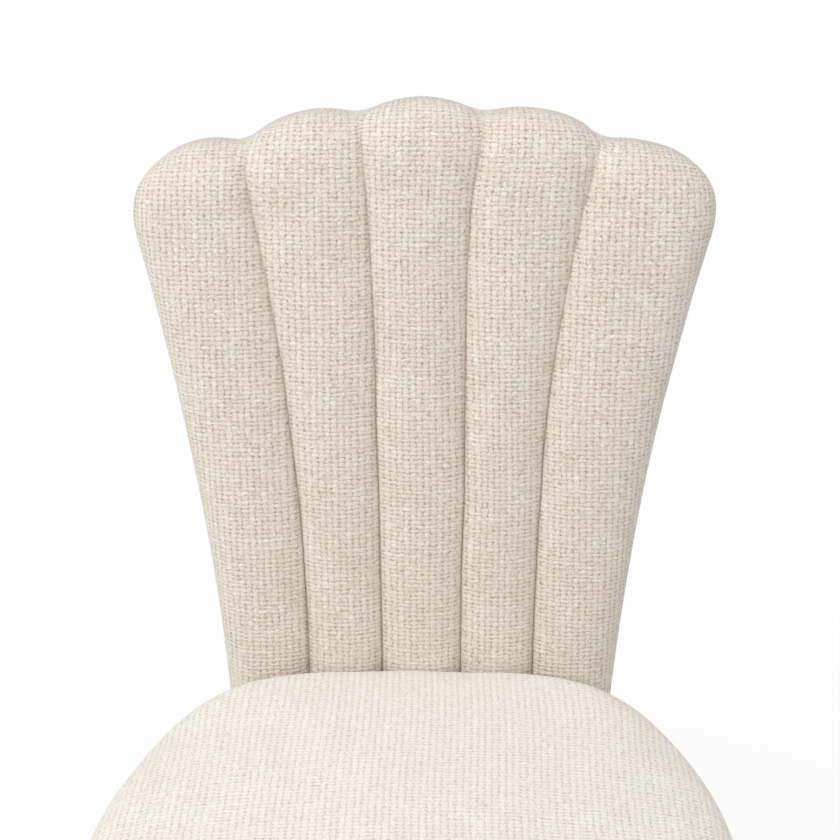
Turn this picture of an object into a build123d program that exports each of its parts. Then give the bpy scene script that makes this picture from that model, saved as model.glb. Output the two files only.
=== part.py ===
from build123d import *
from math import asin, atan2, cos, radians, sin, sqrt
import os

# A swivelling vanity chair with a round padded seat and a fan-shaped channelled back.
# Millimetres and degrees. +Z is up, the chair faces -Y, and left and right are as seen from the front.
# The origin is on the floor, under the middle of the chair's outline.

os.makedirs("parts", exist_ok=True)

# Shared gaps
cut_overrun = 10  # how far a cutter passes the face that it cuts
screw_gap = 0.15  # round a screw, bolt or stud in its hole
soft_gap = 0.4  # between the padded back and the padded seat
rivet_gap = 0.08  # round the rivet in the upper swivel plate
ball_gap = 0.1  # round each ball in its races

# Covered seat, from its centre, and from the underside of its frame
seat_radius = 237
seat_rear_cut = 36  # how far inside the round the flat rear lies
rim_rise = 72
seat_rise = 115
edge_roll_radius = 27
side_draw = 6
rear_edge_radius = 24
cover_thickness = 2
cover_tuck = 14
seat_wadding_thickness = 7

# Seat frame of sawn rails, with its deck
rail_height = 46
rail_width = 24
rear_rail_width = 30
cross_rail_width = 24
deck_thickness = 10
rail_sweep = 73  # the turn that each curved rail makes
dust_cover_thickness = 0.8
dust_cover_gap = 0.5

# Padded back, measured along its slope from the widest line of the seat
back_recline = 13
back_height = 472
back_drop = 65
shoulder_drop = 84
back_half_width = 221.5
back_foot_half_width = 156.5
side_hollow = 11.4
inner_notch_drop = 12
outer_notch_drop = 33
inner_lobe_bulge = 13
outer_lobe_bulge = 22.5
panel_thickness = 15
channel_crest = 34
seam_depth = 21
edge_depth = 5
crown_minimum = 1
side_roll = 3
top_roll = 36
foot_roll = 20
foot_corner_radius = 14
shoulder_round = 24
rear_wadding_thickness = 8
rear_cover_inset = 1
rear_roll = 7
seam_fold = 2

# The four seams: half distance across at the foot, and at the top of the back
inner_seam_foot = 32.5
inner_seam_top = 48
outer_seam_foot = 92
outer_seam_top = 143
inner_seam_curve_share = 2.6
outer_seam_curve_share = 2.2

# Brackets that hold the back to the seat frame
bracket_width = 35
bracket_thickness = 5
bracket_bend_radius = 9
bracket_clearance = 19  # behind the swivel's plate
bracket_rise = 110
bracket_bolt_spacing = 50
bracket_bolt_margin = 16
bracket_screw_margin = 12
last_screw_inset = 39  # ahead of the seat's rear
bolt_radius = 3
bolt_head_radius = 5.5
bolt_head_height = 2.5
tee_nut_flange_radius = 9
tee_nut_flange = 1.5
tee_nut_radius = 4.2
tee_nut_depth = 9

# Wood screws: shank radius, head radius, head height and length
screw_radius = 2.2
screw_head_radius = 4.5
screw_head_height = 2.2
screw_length = 20

# Ball-bearing swivel
plate_side_share = 0.72  # of the seat's radius
plate_thickness = 2.5
plate_corner_radius = 14
plate_hole_margin = 15
swivel_height = 14
race_radius = 47
race_width = 17
ball_radius = 4
ball_count = 16
cage_thickness = 1
cage_width = 12
race_to_cage_gap = 0.3
rivet_radius = 12
rivet_wall = 2.5
rivet_flange_radius = 18
rivet_flange_thickness = 2
rivet_end_gap = 0.3

# Base
base_board_margin = 40  # beyond the legs' circle
base_board_thickness = 22
base_board_round = 5
leg_clearance = 36.68  # outside the swivel plate's side
leg_splay = 15
leg_drop = 300
leg_top_radius = 21
leg_swell_radius = 20
leg_swell_share = 0.35
leg_foot_radius = 11.5
leg_plate_side = 58
leg_plate_thickness = 3
leg_plate_corner_radius = 8
leg_plate_screw_spacing = 42
leg_screw_length = 16
stud_radius = 4
stud_in_leg = 32
stud_in_board = 12
glide_radius = 10
glide_height = 5
glide_round = 1.5
glide_pin_radius = 1.5
glide_pin_length = 12

# Places that follow from these sizes
seat_rear = seat_radius - seat_rear_cut
plate_side = seat_radius * plate_side_share
plate_hole_spacing = plate_side - 2 * plate_hole_margin
bracket_reach = plate_side / 2 + bracket_clearance
leg_circle_radius = plate_side / 2 + leg_clearance
base_board_radius = leg_circle_radius + base_board_margin
shoulder_height = back_height - shoulder_drop
inner_notch_height = back_height - inner_notch_drop
outer_notch_height = back_height - outer_notch_drop

# Heights above the floor
leg_top = glide_height + leg_drop
base_board_bottom = leg_top + leg_plate_thickness
swivel_bottom = base_board_bottom + base_board_thickness
swivel_top = swivel_bottom + swivel_height
frame_bottom = swivel_top + dust_cover_thickness
deck_bottom = frame_bottom + rail_height
deck_top = deck_bottom + deck_thickness
rim_height = frame_bottom + rim_rise
race_level = swivel_bottom + swivel_height / 2

# The back's own directions: up its slope, and out of its front face
lean = radians(back_recline)
slope_up = Vector(0, sin(lean), cos(lean))
face_out = Vector(0, -cos(lean), sin(lean))
rear_build = panel_thickness + rear_wadding_thickness + cover_thickness

# The seat's centre lies so far forward that the middle of the outline is over the origin
back_setback = seat_rear + (channel_crest + soft_gap) / cos(lean)
rear_cover_top = back_height - rear_cover_inset
reach_behind = back_setback + rear_cover_top * sin(lean) + rear_build * cos(lean)
seat_centre_y = (seat_radius - reach_behind) / 2
back_origin = Vector(0, seat_centre_y + back_setback, rim_height)

back_plane = Plane(origin=back_origin, x_dir=(1, 0, 0), z_dir=face_out)
seat_axis = Axis((0, seat_centre_y, 0), (0, 0, 1))
frame_radius = seat_radius - side_draw - seat_wadding_thickness - cover_thickness
frame_inset = seat_wadding_thickness + cover_thickness


def level(height):
    """A level plane at a height, centred on the seat."""
    return Plane(origin=(0, seat_centre_y, height))


def rear_plane(inset):
    """The leaning plane of the seat's flat rear, moved into the seat by inset."""
    return back_plane.offset(channel_crest + soft_gap + inset)


def save(piece, name):
    """Name a finished piece and write it."""
    piece.part.label = name
    export_step(piece.part, f"parts/{name}.step")


# Padded seat


def seat_form(inset, bottom):
    """The covered seat's form, taken inwards by inset: crown, rolled edge, drawn-in side, flat rear."""
    rim_radius = seat_radius - inset
    roll_radius = edge_roll_radius - inset
    roll_centre = seat_radius - edge_roll_radius
    rise = seat_rise - rim_rise
    crown_radius = (roll_centre**2 + rise**2 - edge_roll_radius**2) / (2 * (rise - edge_roll_radius))
    roll_share = roll_centre / (crown_radius - edge_roll_radius)
    crown_end = ((crown_radius - inset) * roll_share, (crown_radius - inset) * sqrt(1 - roll_share**2))
    crown_centre = rim_height + rise - crown_radius
    side_radius = (rim_rise**2 + side_draw**2) / (2 * side_draw)

    def side(height):
        return seat_radius - side_radius + sqrt((side_radius - inset) ** 2 - (rim_height - height) ** 2)

    roll_turn = atan2(crown_centre + crown_end[1] - rim_height, crown_end[0] - roll_centre) / 2
    crown_turn = asin(roll_share) / 2
    profile_plane = Plane(origin=(0, seat_centre_y, 0), x_dir=(1, 0, 0), z_dir=(0, -1, 0))
    with BuildPart() as form:
        with BuildSketch(profile_plane):
            with BuildLine():
                foot = (side(bottom), bottom)
                rim = (rim_radius, rim_height)
                shoulder = (crown_end[0], crown_centre + crown_end[1])
                top = (0, rim_height + rise - inset)
                Line((0, bottom), foot)
                ThreePointArc(foot, (side((bottom + rim_height) / 2), (bottom + rim_height) / 2), rim)
                roll_middle = (
                    roll_centre + roll_radius * cos(roll_turn),
                    rim_height + roll_radius * sin(roll_turn),
                )
                ThreePointArc(rim, roll_middle, shoulder)
                crown_middle = (
                    (crown_radius - inset) * sin(crown_turn),
                    crown_centre + (crown_radius - inset) * cos(crown_turn),
                )
                ThreePointArc(shoulder, crown_middle, top)
                Line(top, (0, bottom))
            make_face()
        revolve(axis=seat_axis)
        split(bisect_by=rear_plane(inset), keep=Keep.TOP)
        rear_face = form.faces().sort_by(Axis.Y)[-1]
        fillet(rear_face.edges().sort_by(Axis.Z)[1:], radius=rear_edge_radius - inset)
    return form.part


def frame_disc(inset, bottom, top):
    """The seat frame's outline, taken inwards by inset, as a slab from bottom to top."""
    with BuildPart() as disc:
        with BuildSketch(level(bottom)):
            Circle(frame_radius - inset)
        extrude(amount=top - bottom)
        split(bisect_by=rear_plane(frame_inset + inset), keep=Keep.TOP)
    return disc.part


seat_outer = seat_form(0, frame_bottom - cover_thickness)
seat_lining = seat_form(cover_thickness, frame_bottom)
seat_padding = seat_form(frame_inset, deck_top)
frame_space = frame_disc(0, frame_bottom, deck_top)

with BuildPart() as seat_foam:
    add(seat_padding)
save(seat_foam, "seat_foam")

with BuildPart() as seat_wadding:
    add(seat_lining)
    add(seat_padding, mode=Mode.SUBTRACT)
    add(frame_space, mode=Mode.SUBTRACT)
save(seat_wadding, "seat_wadding")


with BuildPart() as seat_cover:
    add(seat_outer)
    add(seat_lining, mode=Mode.SUBTRACT)
    add(frame_disc(cover_tuck, frame_bottom - cover_thickness, frame_bottom), mode=Mode.SUBTRACT)
    with BuildSketch(level(frame_bottom - cover_thickness)):
        with Locations([(side * plate_hole_spacing / 2, seat_rear) for side in (-1, 1)]):
            Rectangle(bracket_width + 2 * soft_gap, 2 * (seat_rear - bracket_reach))
    extrude(amount=cover_thickness, mode=Mode.SUBTRACT)
save(seat_cover, "seat_cover")

# Seat frame

hole_rows = (-plate_hole_spacing / 2, plate_hole_spacing / 2)
swivel_hole_places = [(across, along) for across in hole_rows for along in hole_rows]
first_screw_reach = bracket_reach + bracket_screw_margin
last_screw_reach = seat_rear - last_screw_inset
screw_reaches = [first_screw_reach, (first_screw_reach + last_screw_reach) / 2, last_screw_reach]
bracket_screw_places = [(across, reach) for across in hole_rows for reach in screw_reaches]

with BuildPart() as frame_rail_rear:
    with BuildSketch(level(frame_bottom)):
        Circle(frame_radius)
    extrude(amount=rail_height)
    split(bisect_by=rear_plane(frame_inset), keep=Keep.TOP)
    split(bisect_by=rear_plane(frame_inset + rear_rail_width), keep=Keep.BOTTOM)
    with BuildSketch(level(frame_bottom)):
        with Locations(bracket_screw_places):
            Circle(screw_radius + screw_gap)
    extrude(amount=screw_length, mode=Mode.SUBTRACT)
save(frame_rail_rear, "frame_rail_rear")


def curved_rail(start_angle, name):
    """One sawn rail of the seat frame's hoop, from start_angle through the shared sweep."""
    with BuildPart() as rail:
        with BuildSketch(level(frame_bottom)):
            with BuildLine():
                outer = CenterArc((0, 0), frame_radius, start_angle, rail_sweep)
                inner = CenterArc((0, 0), frame_radius - rail_width, start_angle, rail_sweep)
                Line(outer @ 0, inner @ 0)
                Line(outer @ 1, inner @ 1)
            make_face()
        extrude(amount=rail_height)
        split(bisect_by=rear_plane(frame_inset + rear_rail_width), keep=Keep.TOP)
    save(rail, name)


curved_rail(-90, "frame_rail_front_right")
curved_rail(-90 + rail_sweep, "frame_rail_side_right")
curved_rail(-90 - rail_sweep, "frame_rail_front_left")
curved_rail(-90 - 2 * rail_sweep, "frame_rail_side_left")


def cross_rail(side, name):
    """A straight rail from the front of the hoop to the rear rail, over one row of the swivel's holes."""
    with BuildPart() as rail:
        with BuildSketch(level(frame_bottom)):
            Circle(frame_radius - rail_width)
            with Locations((side * plate_hole_spacing / 2, 0)):
                Rectangle(cross_rail_width, 2 * frame_radius, mode=Mode.INTERSECT)
        extrude(amount=rail_height)
        split(bisect_by=rear_plane(frame_inset + rear_rail_width), keep=Keep.TOP)
        with BuildSketch(level(frame_bottom)):
            with Locations(bracket_screw_places):
                Circle(screw_radius + screw_gap)
            with Locations(swivel_hole_places):
                Circle(screw_radius + screw_gap)
        extrude(amount=screw_length, mode=Mode.SUBTRACT)
    save(rail, name)


cross_rail(-1, "cross_rail_left")
cross_rail(1, "cross_rail_right")

with BuildPart() as deck:
    add(frame_disc(0, deck_bottom, deck_top))
save(deck, "deck")

with BuildPart() as dust_cover:
    add(frame_disc(cover_tuck + dust_cover_gap, swivel_top, frame_bottom))
    with BuildSketch(level(swivel_top)):
        Circle(rivet_flange_radius + dust_cover_gap)
        with Locations([(side * plate_hole_spacing / 2, seat_rear) for side in (-1, 1)]):
            Rectangle(bracket_width + 2 * dust_cover_gap, 2 * (seat_rear - bracket_reach + dust_cover_gap))
        with Locations(swivel_hole_places):
            Circle(screw_radius + screw_gap)
    extrude(amount=dust_cover_thickness, mode=Mode.SUBTRACT)
save(dust_cover, "dust_cover")

# Padded back: its seams, sides and lobes, on the slope


def arc_middle(start, end, bulge):
    """Middle of the arc from start to end that stands off its chord, to the left, by bulge."""
    chord = end - start
    return (start + end) * 0.5 + Vector(-chord.Y, chord.X, 0).normalized() * bulge


def arc_centre(start, end, bulge):
    """Centre of the same arc."""
    chord = end - start
    radius = chord.length**2 / (8 * bulge) + bulge / 2
    return arc_middle(start, end, bulge - radius)


def inner_seam(height):
    """Half distance between the two middle seams at a height on the slope."""
    share = max(height, 0) / back_height
    return inner_seam_foot + (inner_seam_top - inner_seam_foot) * share**inner_seam_curve_share


def outer_seam(height):
    """Half distance between the two outer seams at a height on the slope."""
    share = max(height, 0) / back_height
    return outer_seam_foot + (outer_seam_top - outer_seam_foot) * share**outer_seam_curve_share


foot_corner = Vector(back_foot_half_width, -back_drop, 0)
shoulder = Vector(back_half_width, shoulder_height, 0)
outer_notch = Vector(outer_seam(outer_notch_height), outer_notch_height, 0)
inner_notch = Vector(inner_seam(inner_notch_height), inner_notch_height, 0)
right_arcs = (
    (foot_corner, shoulder, side_hollow),
    (shoulder, outer_notch, -outer_lobe_bulge),
    (outer_notch, inner_notch, -inner_lobe_bulge),
)
side_centre = arc_centre(foot_corner, shoulder, side_hollow)
lobe_centre = arc_centre(shoulder, outer_notch, -outer_lobe_bulge)
lobe_radius = (shoulder - lobe_centre).length
outer_lobe_top = lobe_centre.Y + lobe_radius
inner_lobe_top = arc_middle(outer_notch, inner_notch, -inner_lobe_bulge).Y


def half_width(height):
    """Half width of the back at a height, up its side and round its outer lobe."""
    if height > shoulder_height:
        rise = min(height, outer_lobe_top) - lobe_centre.Y
        return lobe_centre.X + sqrt(lobe_radius**2 - rise**2)
    rise = max(height, -back_drop) - side_centre.Y
    return side_centre.X - sqrt((shoulder - side_centre).length ** 2 - rise**2)


def fullness(height, top):
    """How full the padding is at a height: 1 over most of the back, rounding to 0 at its top and foot."""
    over = min(max((height - (top - top_roll)) / top_roll, 0), 1)
    under = min(max((foot_roll - back_drop - height) / foot_roll, 0), 1)
    return sqrt(1 - over**2) * sqrt(1 - under**2)


def channel_section(height):
    """Seams and crowns across the right half at a height, each as (half distance, depth off the panel)."""
    inner_depth = edge_depth + (seam_depth - edge_depth) * fullness(height, inner_notch_height)
    outer_depth = edge_depth + (seam_depth - edge_depth) * fullness(height, outer_notch_height)
    crowns = [
        edge_depth + crown_minimum + (channel_crest - edge_depth - crown_minimum) * fullness(height, top)
        for top in (back_height, inner_lobe_top, outer_lobe_top)
    ]
    ends = [
        (inner_seam(height), inner_depth),
        (outer_seam(height), outer_depth),
        (half_width(height) + side_roll, edge_depth / 2),
    ]
    return ends, crowns


def full_section(height):
    """The section's six ends and five crests from the left side to the right."""
    ends, crowns = channel_section(height)
    points = [(-across, depth) for across, depth in reversed(ends)] + ends
    return points, crowns[:0:-1] + crowns


foot_stations = [foot_roll * share - back_drop for share in (-0.15, 0.06, 0.35, 1)]
rise_stations = [shoulder_height * share for share in (0.1, 0.32, 0.55, 0.78)]
top_span = back_height - shoulder_height
top_stations = [shoulder_height + top_span * share for share in (0, 0.3, 0.5, 0.62, 0.75, 0.88, 0.97, 1.04)]
stations = foot_stations + rise_stations + top_stations


def section_plane(height):
    """The plane square to the slope at a height: x is across, y is out of the panel's face."""
    return Plane(origin=back_origin + slope_up * height, x_dir=(1, 0, 0), z_dir=-slope_up)


def back_slab(inset, rear, front, rear_round=0):
    """The back's lobed outline, taken inwards by inset, as a slab between two depths off the panel."""
    with BuildPart() as slab:
        with BuildSketch(back_plane.offset(rear)) as outline:
            with BuildLine():
                Line((-foot_corner.X, foot_corner.Y), (foot_corner.X, foot_corner.Y))
                notch_left = (-inner_notch.X, inner_notch.Y)
                ThreePointArc(notch_left, (0, back_height), (inner_notch.X, inner_notch.Y))
                for side in (-1, 1):
                    for start, end, bulge in right_arcs:
                        middle = arc_middle(start, end, bulge)
                        ThreePointArc(*[(side * point.X, point.Y) for point in (start, middle, end)])
            make_face()
            fillet(outline.vertices().group_by(Axis.Y)[0], radius=foot_corner_radius)
            for end in (0, -1):
                fillet(outline.vertices().group_by(Axis.X)[end], radius=shoulder_round)
            if inset > 0:
                offset(amount=-inset)
        extrude(amount=front - rear)
        if rear_round > 0:
            fillet(slab.faces().sort_by(Axis(back_origin, face_out))[0].edges(), radius=rear_round)
    return slab.part


def back_bolts_at(rear, front, radius):
    """A round bar on each back bolt's axis, between two depths off the panel."""
    with BuildPart() as bars:
        with BuildSketch(back_plane.offset(rear)):
            with Locations(bolt_places):
                Circle(radius)
        extrude(amount=front - rear)
    return bars.part


bracket_middle = bracket_thickness / 2
bracket_path_depth = -panel_thickness - bracket_middle
bracket_path_foot = back_origin + face_out * bracket_path_depth
bracket_corner_height = (frame_bottom - bracket_middle - bracket_path_foot.Z) / slope_up.Z
bracket_top_height = bracket_corner_height + bracket_rise
top_bolt_height = bracket_top_height - bracket_bolt_margin
bolt_heights = [top_bolt_height - bracket_bolt_spacing * number for number in (0, 1)]
bolt_places = [(across, height) for across in hole_rows for height in bolt_heights]


def bracket_bar(side, growth):
    """A flat steel bar from under the frame up the rear of the back's panel, grown on every side."""
    across = Vector(side * plate_hole_spacing / 2, 0, 0)
    start = Vector(0, seat_centre_y + bracket_reach - growth, frame_bottom - bracket_middle) + across
    corner = bracket_path_foot + slope_up * bracket_corner_height + across
    end = bracket_path_foot + slope_up * (bracket_top_height + growth) + across
    with BuildPart() as bar:
        with BuildLine():
            FilletPolyline(start, corner, end, radius=bracket_bend_radius)
        with BuildSketch(Plane(origin=start, x_dir=(1, 0, 0), z_dir=(0, 1, 0))):
            Rectangle(bracket_width + 2 * growth, bracket_thickness + 2 * growth)
        sweep()
    return bar.part


def bracket(side, name):
    """The bar with its screw and bolt holes."""
    with BuildPart() as bar:
        add(bracket_bar(side, 0))
        with BuildSketch(level(frame_bottom - bracket_thickness - cut_overrun)):
            with Locations(bracket_screw_places):
                Circle(screw_radius + screw_gap)
        extrude(amount=bracket_thickness + cut_overrun, mode=Mode.SUBTRACT)
        hole_start = -panel_thickness - bracket_thickness - cut_overrun
        add(back_bolts_at(hole_start, -panel_thickness, bolt_radius + screw_gap), mode=Mode.SUBTRACT)
    save(bar, name)


bracket(-1, "back_bracket_left")
bracket(1, "back_bracket_right")

with BuildPart() as back_panel:
    add(back_slab(cover_thickness, -panel_thickness, 0))
    add(back_bolts_at(-panel_thickness, 0, bolt_radius + screw_gap), mode=Mode.SUBTRACT)
    add(back_bolts_at(-tee_nut_depth, 0, tee_nut_radius + screw_gap), mode=Mode.SUBTRACT)
save(back_panel, "back_panel")

with BuildPart() as back_tee_nuts:
    add(back_bolts_at(0, tee_nut_flange, tee_nut_flange_radius))
    add(back_bolts_at(-tee_nut_depth, 0, tee_nut_radius))
    add(back_bolts_at(-tee_nut_depth, tee_nut_flange, bolt_radius + screw_gap), mode=Mode.SUBTRACT)
save(back_tee_nuts, "back_tee_nuts")

bolt_head_rear = -panel_thickness - bracket_thickness - bolt_head_height
with BuildPart() as back_bolts:
    add(back_bolts_at(bolt_head_rear, -panel_thickness - bracket_thickness, bolt_head_radius))
    add(back_bolts_at(-panel_thickness - bracket_thickness, tee_nut_flange, bolt_radius))
save(back_bolts, "back_bolts")

with BuildPart() as rear_hardware_space:
    add(bracket_bar(-1, screw_gap))
    add(bracket_bar(1, screw_gap))
    add(back_bolts_at(bolt_head_rear - screw_gap, -panel_thickness, bolt_head_radius + screw_gap))

rear_skin = back_slab(rear_cover_inset, -rear_build, -panel_thickness, rear_roll)
rear_padding = back_slab(
    rear_cover_inset + cover_thickness,
    cover_thickness - rear_build,
    -panel_thickness,
    rear_roll - cover_thickness,
)

with BuildPart() as back_wadding:
    add(rear_padding)
    add(rear_hardware_space.part, mode=Mode.SUBTRACT)
save(back_wadding, "back_wadding")

with BuildPart() as back_rear_cover:
    add(rear_skin)
    add(rear_padding, mode=Mode.SUBTRACT)
    add(rear_hardware_space.part, mode=Mode.SUBTRACT)
save(back_rear_cover, "back_rear_cover")

# Channel fillings and the sewn cover over them

foam_slab = back_slab(cover_thickness, 0, channel_crest)
tee_nut_space = back_bolts_at(0, tee_nut_flange + screw_gap, tee_nut_flange_radius + screw_gap)


def channel_foam(start, end, name):
    """The filling between two neighbours of the section's six ends, counted from the left side."""
    with BuildPart() as foam:
        for height in stations:
            points, crests = full_section(height)
            left = (points[start][0] + seam_fold, points[start][1] - cover_thickness)
            right = (points[end][0] - seam_fold, points[end][1] - cover_thickness)
            crown = ((left[0] + right[0]) / 2, crests[start] - cover_thickness)
            with BuildSketch(section_plane(height)):
                with BuildLine():
                    Line((left[0], 0), left)
                    ThreePointArc(left, crown, right)
                    Line(right, (right[0], 0))
                    Line((right[0], 0), (left[0], 0))
                make_face()
        loft(ruled=True)
        add(foam_slab, mode=Mode.INTERSECT)
        add(tee_nut_space, mode=Mode.SUBTRACT)
    save(foam, name)
    return foam.part


foam_names = ("left_outer", "left_inner", "middle", "right_inner", "right_outer")
foams = [channel_foam(number, number + 1, f"back_foam_{name}") for number, name in enumerate(foam_names)]

with BuildPart() as back_cover:
    for height in stations:
        points, crests = full_section(height)
        with BuildSketch(section_plane(height)):
            with BuildLine():
                for left, right, crest in zip(points, points[1:], crests):
                    ThreePointArc(left, ((left[0] + right[0]) / 2, crest), right)
                left_rear = (points[0][0], -panel_thickness)
                right_rear = (points[-1][0], -panel_thickness)
                Polyline(points[0], left_rear, right_rear, points[-1])
            make_face()
    loft(ruled=True)
    add(back_slab(0, -panel_thickness, channel_crest + cut_overrun), mode=Mode.INTERSECT)
    add(back_slab(cover_thickness, -panel_thickness, 0), mode=Mode.SUBTRACT)
    for foam in foams:
        add(foam, mode=Mode.SUBTRACT)
    add(tee_nut_space, mode=Mode.SUBTRACT)
save(back_cover, "back_cover")

# Ball-bearing swivel


def swivel_plate(face, outward, centre_hole_radius, name):
    """A square plate whose fixing face is at a level, with a ball race raised on its other side."""
    inner_face = face - outward * plate_thickness
    race_top = race_level + outward * (cage_thickness / 2 + race_to_cage_gap)
    with BuildPart() as plate:
        with BuildSketch(level(face)):
            RectangleRounded(plate_side, plate_side, plate_corner_radius)
        extrude(amount=-outward * plate_thickness)
        with BuildSketch(level(inner_face)):
            Circle(race_radius + race_width / 2)
            Circle(race_radius - race_width / 2, mode=Mode.SUBTRACT)
        extrude(amount=race_top - inner_face)
        with Locations((0, seat_centre_y, race_level)):
            Torus(race_radius, ball_radius + ball_gap, mode=Mode.SUBTRACT)
        with BuildSketch(level(face)):
            Circle(centre_hole_radius)
            with Locations(swivel_hole_places):
                Circle(screw_radius + screw_gap)
        extrude(amount=-outward * plate_thickness, mode=Mode.SUBTRACT)
    save(plate, name)


swivel_plate(swivel_bottom, -1, rivet_radius + screw_gap, "swivel_lower_plate")
swivel_plate(swivel_top, 1, rivet_radius + rivet_gap, "swivel_upper_plate")

with BuildPart() as swivel_balls:
    with Locations((0, seat_centre_y, race_level)):
        with PolarLocations(race_radius, ball_count):
            Sphere(ball_radius)
save(swivel_balls, "swivel_balls")

with BuildPart() as swivel_cage:
    with BuildSketch(level(race_level - cage_thickness / 2)):
        Circle(race_radius + cage_width / 2)
        Circle(race_radius - cage_width / 2, mode=Mode.SUBTRACT)
        with PolarLocations(race_radius, ball_count):
            Circle(ball_radius + ball_gap, mode=Mode.SUBTRACT)
    extrude(amount=cage_thickness)
save(swivel_cage, "swivel_cage")

with BuildPart() as swivel_rivet:
    rivet_foot = swivel_bottom - rivet_flange_thickness
    rivet_collar = swivel_top + rivet_end_gap
    with BuildSketch(level(rivet_foot)):
        Circle(rivet_radius)
    extrude(amount=rivet_collar + rivet_flange_thickness - rivet_foot)
    for height in (rivet_foot, rivet_collar):
        with BuildSketch(level(height)):
            Circle(rivet_flange_radius)
        extrude(amount=rivet_flange_thickness)
    with BuildSketch(level(rivet_foot)):
        Circle(rivet_radius - rivet_wall)
    extrude(amount=rivet_collar + rivet_flange_thickness - rivet_foot, mode=Mode.SUBTRACT)
save(swivel_rivet, "swivel_rivet")


def screw_group(places, head_face, direction, length, name):
    """Screws at places on the seat's axes, with their heads on a level face and driven in a direction."""
    with BuildPart() as screws:
        with BuildSketch(level(head_face)):
            with Locations(places):
                Circle(screw_head_radius)
        extrude(amount=-direction * screw_head_height)
        with BuildSketch(level(head_face)):
            with Locations(places):
                Circle(screw_radius)
        extrude(amount=direction * length)
    save(screws, name)


screw_group(swivel_hole_places, swivel_top - plate_thickness, 1, screw_length, "swivel_upper_screws")
screw_group(swivel_hole_places, swivel_bottom + plate_thickness, -1, screw_length, "swivel_lower_screws")
screw_group(bracket_screw_places, frame_bottom - bracket_thickness, 1, screw_length, "bracket_screws")

# Base board with its legs


class Corner:
    """One corner of the base: where its leg starts, and the directions that follow the leg."""

    def __init__(self, name, angle):
        turn = radians(angle)
        splay = radians(leg_splay)
        outward = Vector(cos(turn), sin(turn), 0)
        self.name = name
        self.top = Vector(0, seat_centre_y, leg_top) + outward * leg_circle_radius
        self.down = outward * sin(splay) - Vector(0, 0, cos(splay))
        self.side = outward * cos(splay) + Vector(0, 0, sin(splay))
        self.along = Vector(-sin(turn), cos(turn), 0)
        self.plate_plane = Plane(origin=self.top, x_dir=outward, z_dir=(0, 0, 1))


corners = (
    Corner("front_left", -135),
    Corner("front_right", -45),
    Corner("rear_left", 135),
    Corner("rear_right", 45),
)


def studs(growth):
    """The four hanger bolts, each from inside its leg to inside the base board."""
    with BuildPart() as bolts:
        for corner in corners:
            start = corner.top + corner.down * (stud_in_leg + growth)
            with BuildSketch(Plane(origin=start, x_dir=corner.side, z_dir=-corner.down)):
                Circle(stud_radius + growth)
            extrude(amount=stud_in_leg + leg_plate_thickness + stud_in_board + 2 * growth)
    return bolts.part


def leg_plate_bars(radius, height, amount):
    """A round bar at every screw of the four leg plates, from a height above their undersides."""
    with BuildPart() as bars:
        for corner in corners:
            with BuildSketch(corner.plate_plane.offset(height)):
                with GridLocations(leg_plate_screw_spacing, leg_plate_screw_spacing, 2, 2):
                    Circle(radius)
            extrude(amount=amount)
    return bars.part


with BuildPart() as hanger_bolts:
    add(studs(0))
save(hanger_bolts, "hanger_bolts")

with BuildPart() as leg_plate_screws:
    add(leg_plate_bars(screw_head_radius, -screw_head_height, screw_head_height))
    add(leg_plate_bars(screw_radius, 0, leg_screw_length))
save(leg_plate_screws, "leg_plate_screws")

stud_space = studs(screw_gap)
leg_screw_space = leg_plate_bars(screw_radius + screw_gap, 0, leg_screw_length + screw_gap)
leg_length = leg_drop / cos(radians(leg_splay))
glide_places = [
    ((corner.top + corner.down * leg_length).X, (corner.top + corner.down * leg_length).Y - seat_centre_y)
    for corner in corners
]

with BuildPart() as glides:
    with BuildSketch(level(0)):
        with Locations(glide_places):
            Circle(glide_radius)
    extrude(amount=glide_height)
    fillet(glides.edges().group_by(Axis.Z)[0], radius=glide_round)
    with BuildSketch(level(glide_height)):
        with Locations(glide_places):
            Circle(glide_pin_radius)
    extrude(amount=glide_pin_length)
save(glides, "glides")

for corner in corners:
    with BuildPart() as leg:
        with BuildSketch(Plane(origin=corner.top, x_dir=corner.side, z_dir=corner.along)):
            with BuildLine():
                top_end = -leg_top_radius
                foot_end = leg_length + leg_top_radius
                Polyline((leg_top_radius, 0), (leg_top_radius, top_end), (0, top_end), (0, foot_end))
                Polyline((0, foot_end), (leg_foot_radius, foot_end), (leg_foot_radius, leg_length))
                swell = (leg_swell_radius, leg_length * leg_swell_share)
                ThreePointArc((leg_top_radius, 0), swell, (leg_foot_radius, leg_length))
            make_face()
        revolve(axis=Axis(corner.top, corner.down))
        split(bisect_by=Plane.XY.offset(leg_top), keep=Keep.BOTTOM)
        split(bisect_by=Plane.XY.offset(glide_height), keep=Keep.TOP)
        add(stud_space, mode=Mode.SUBTRACT)
        with BuildSketch(level(glide_height)):
            with Locations(glide_places):
                Circle(glide_pin_radius + screw_gap)
        extrude(amount=glide_pin_length + screw_gap, mode=Mode.SUBTRACT)
    save(leg, f"leg_{corner.name}")
    with BuildPart() as leg_plate:
        with BuildSketch(corner.plate_plane):
            RectangleRounded(leg_plate_side, leg_plate_side, leg_plate_corner_radius)
        extrude(amount=leg_plate_thickness)
        add(stud_space, mode=Mode.SUBTRACT)
        add(leg_screw_space, mode=Mode.SUBTRACT)
    save(leg_plate, f"leg_plate_{corner.name}")

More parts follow.
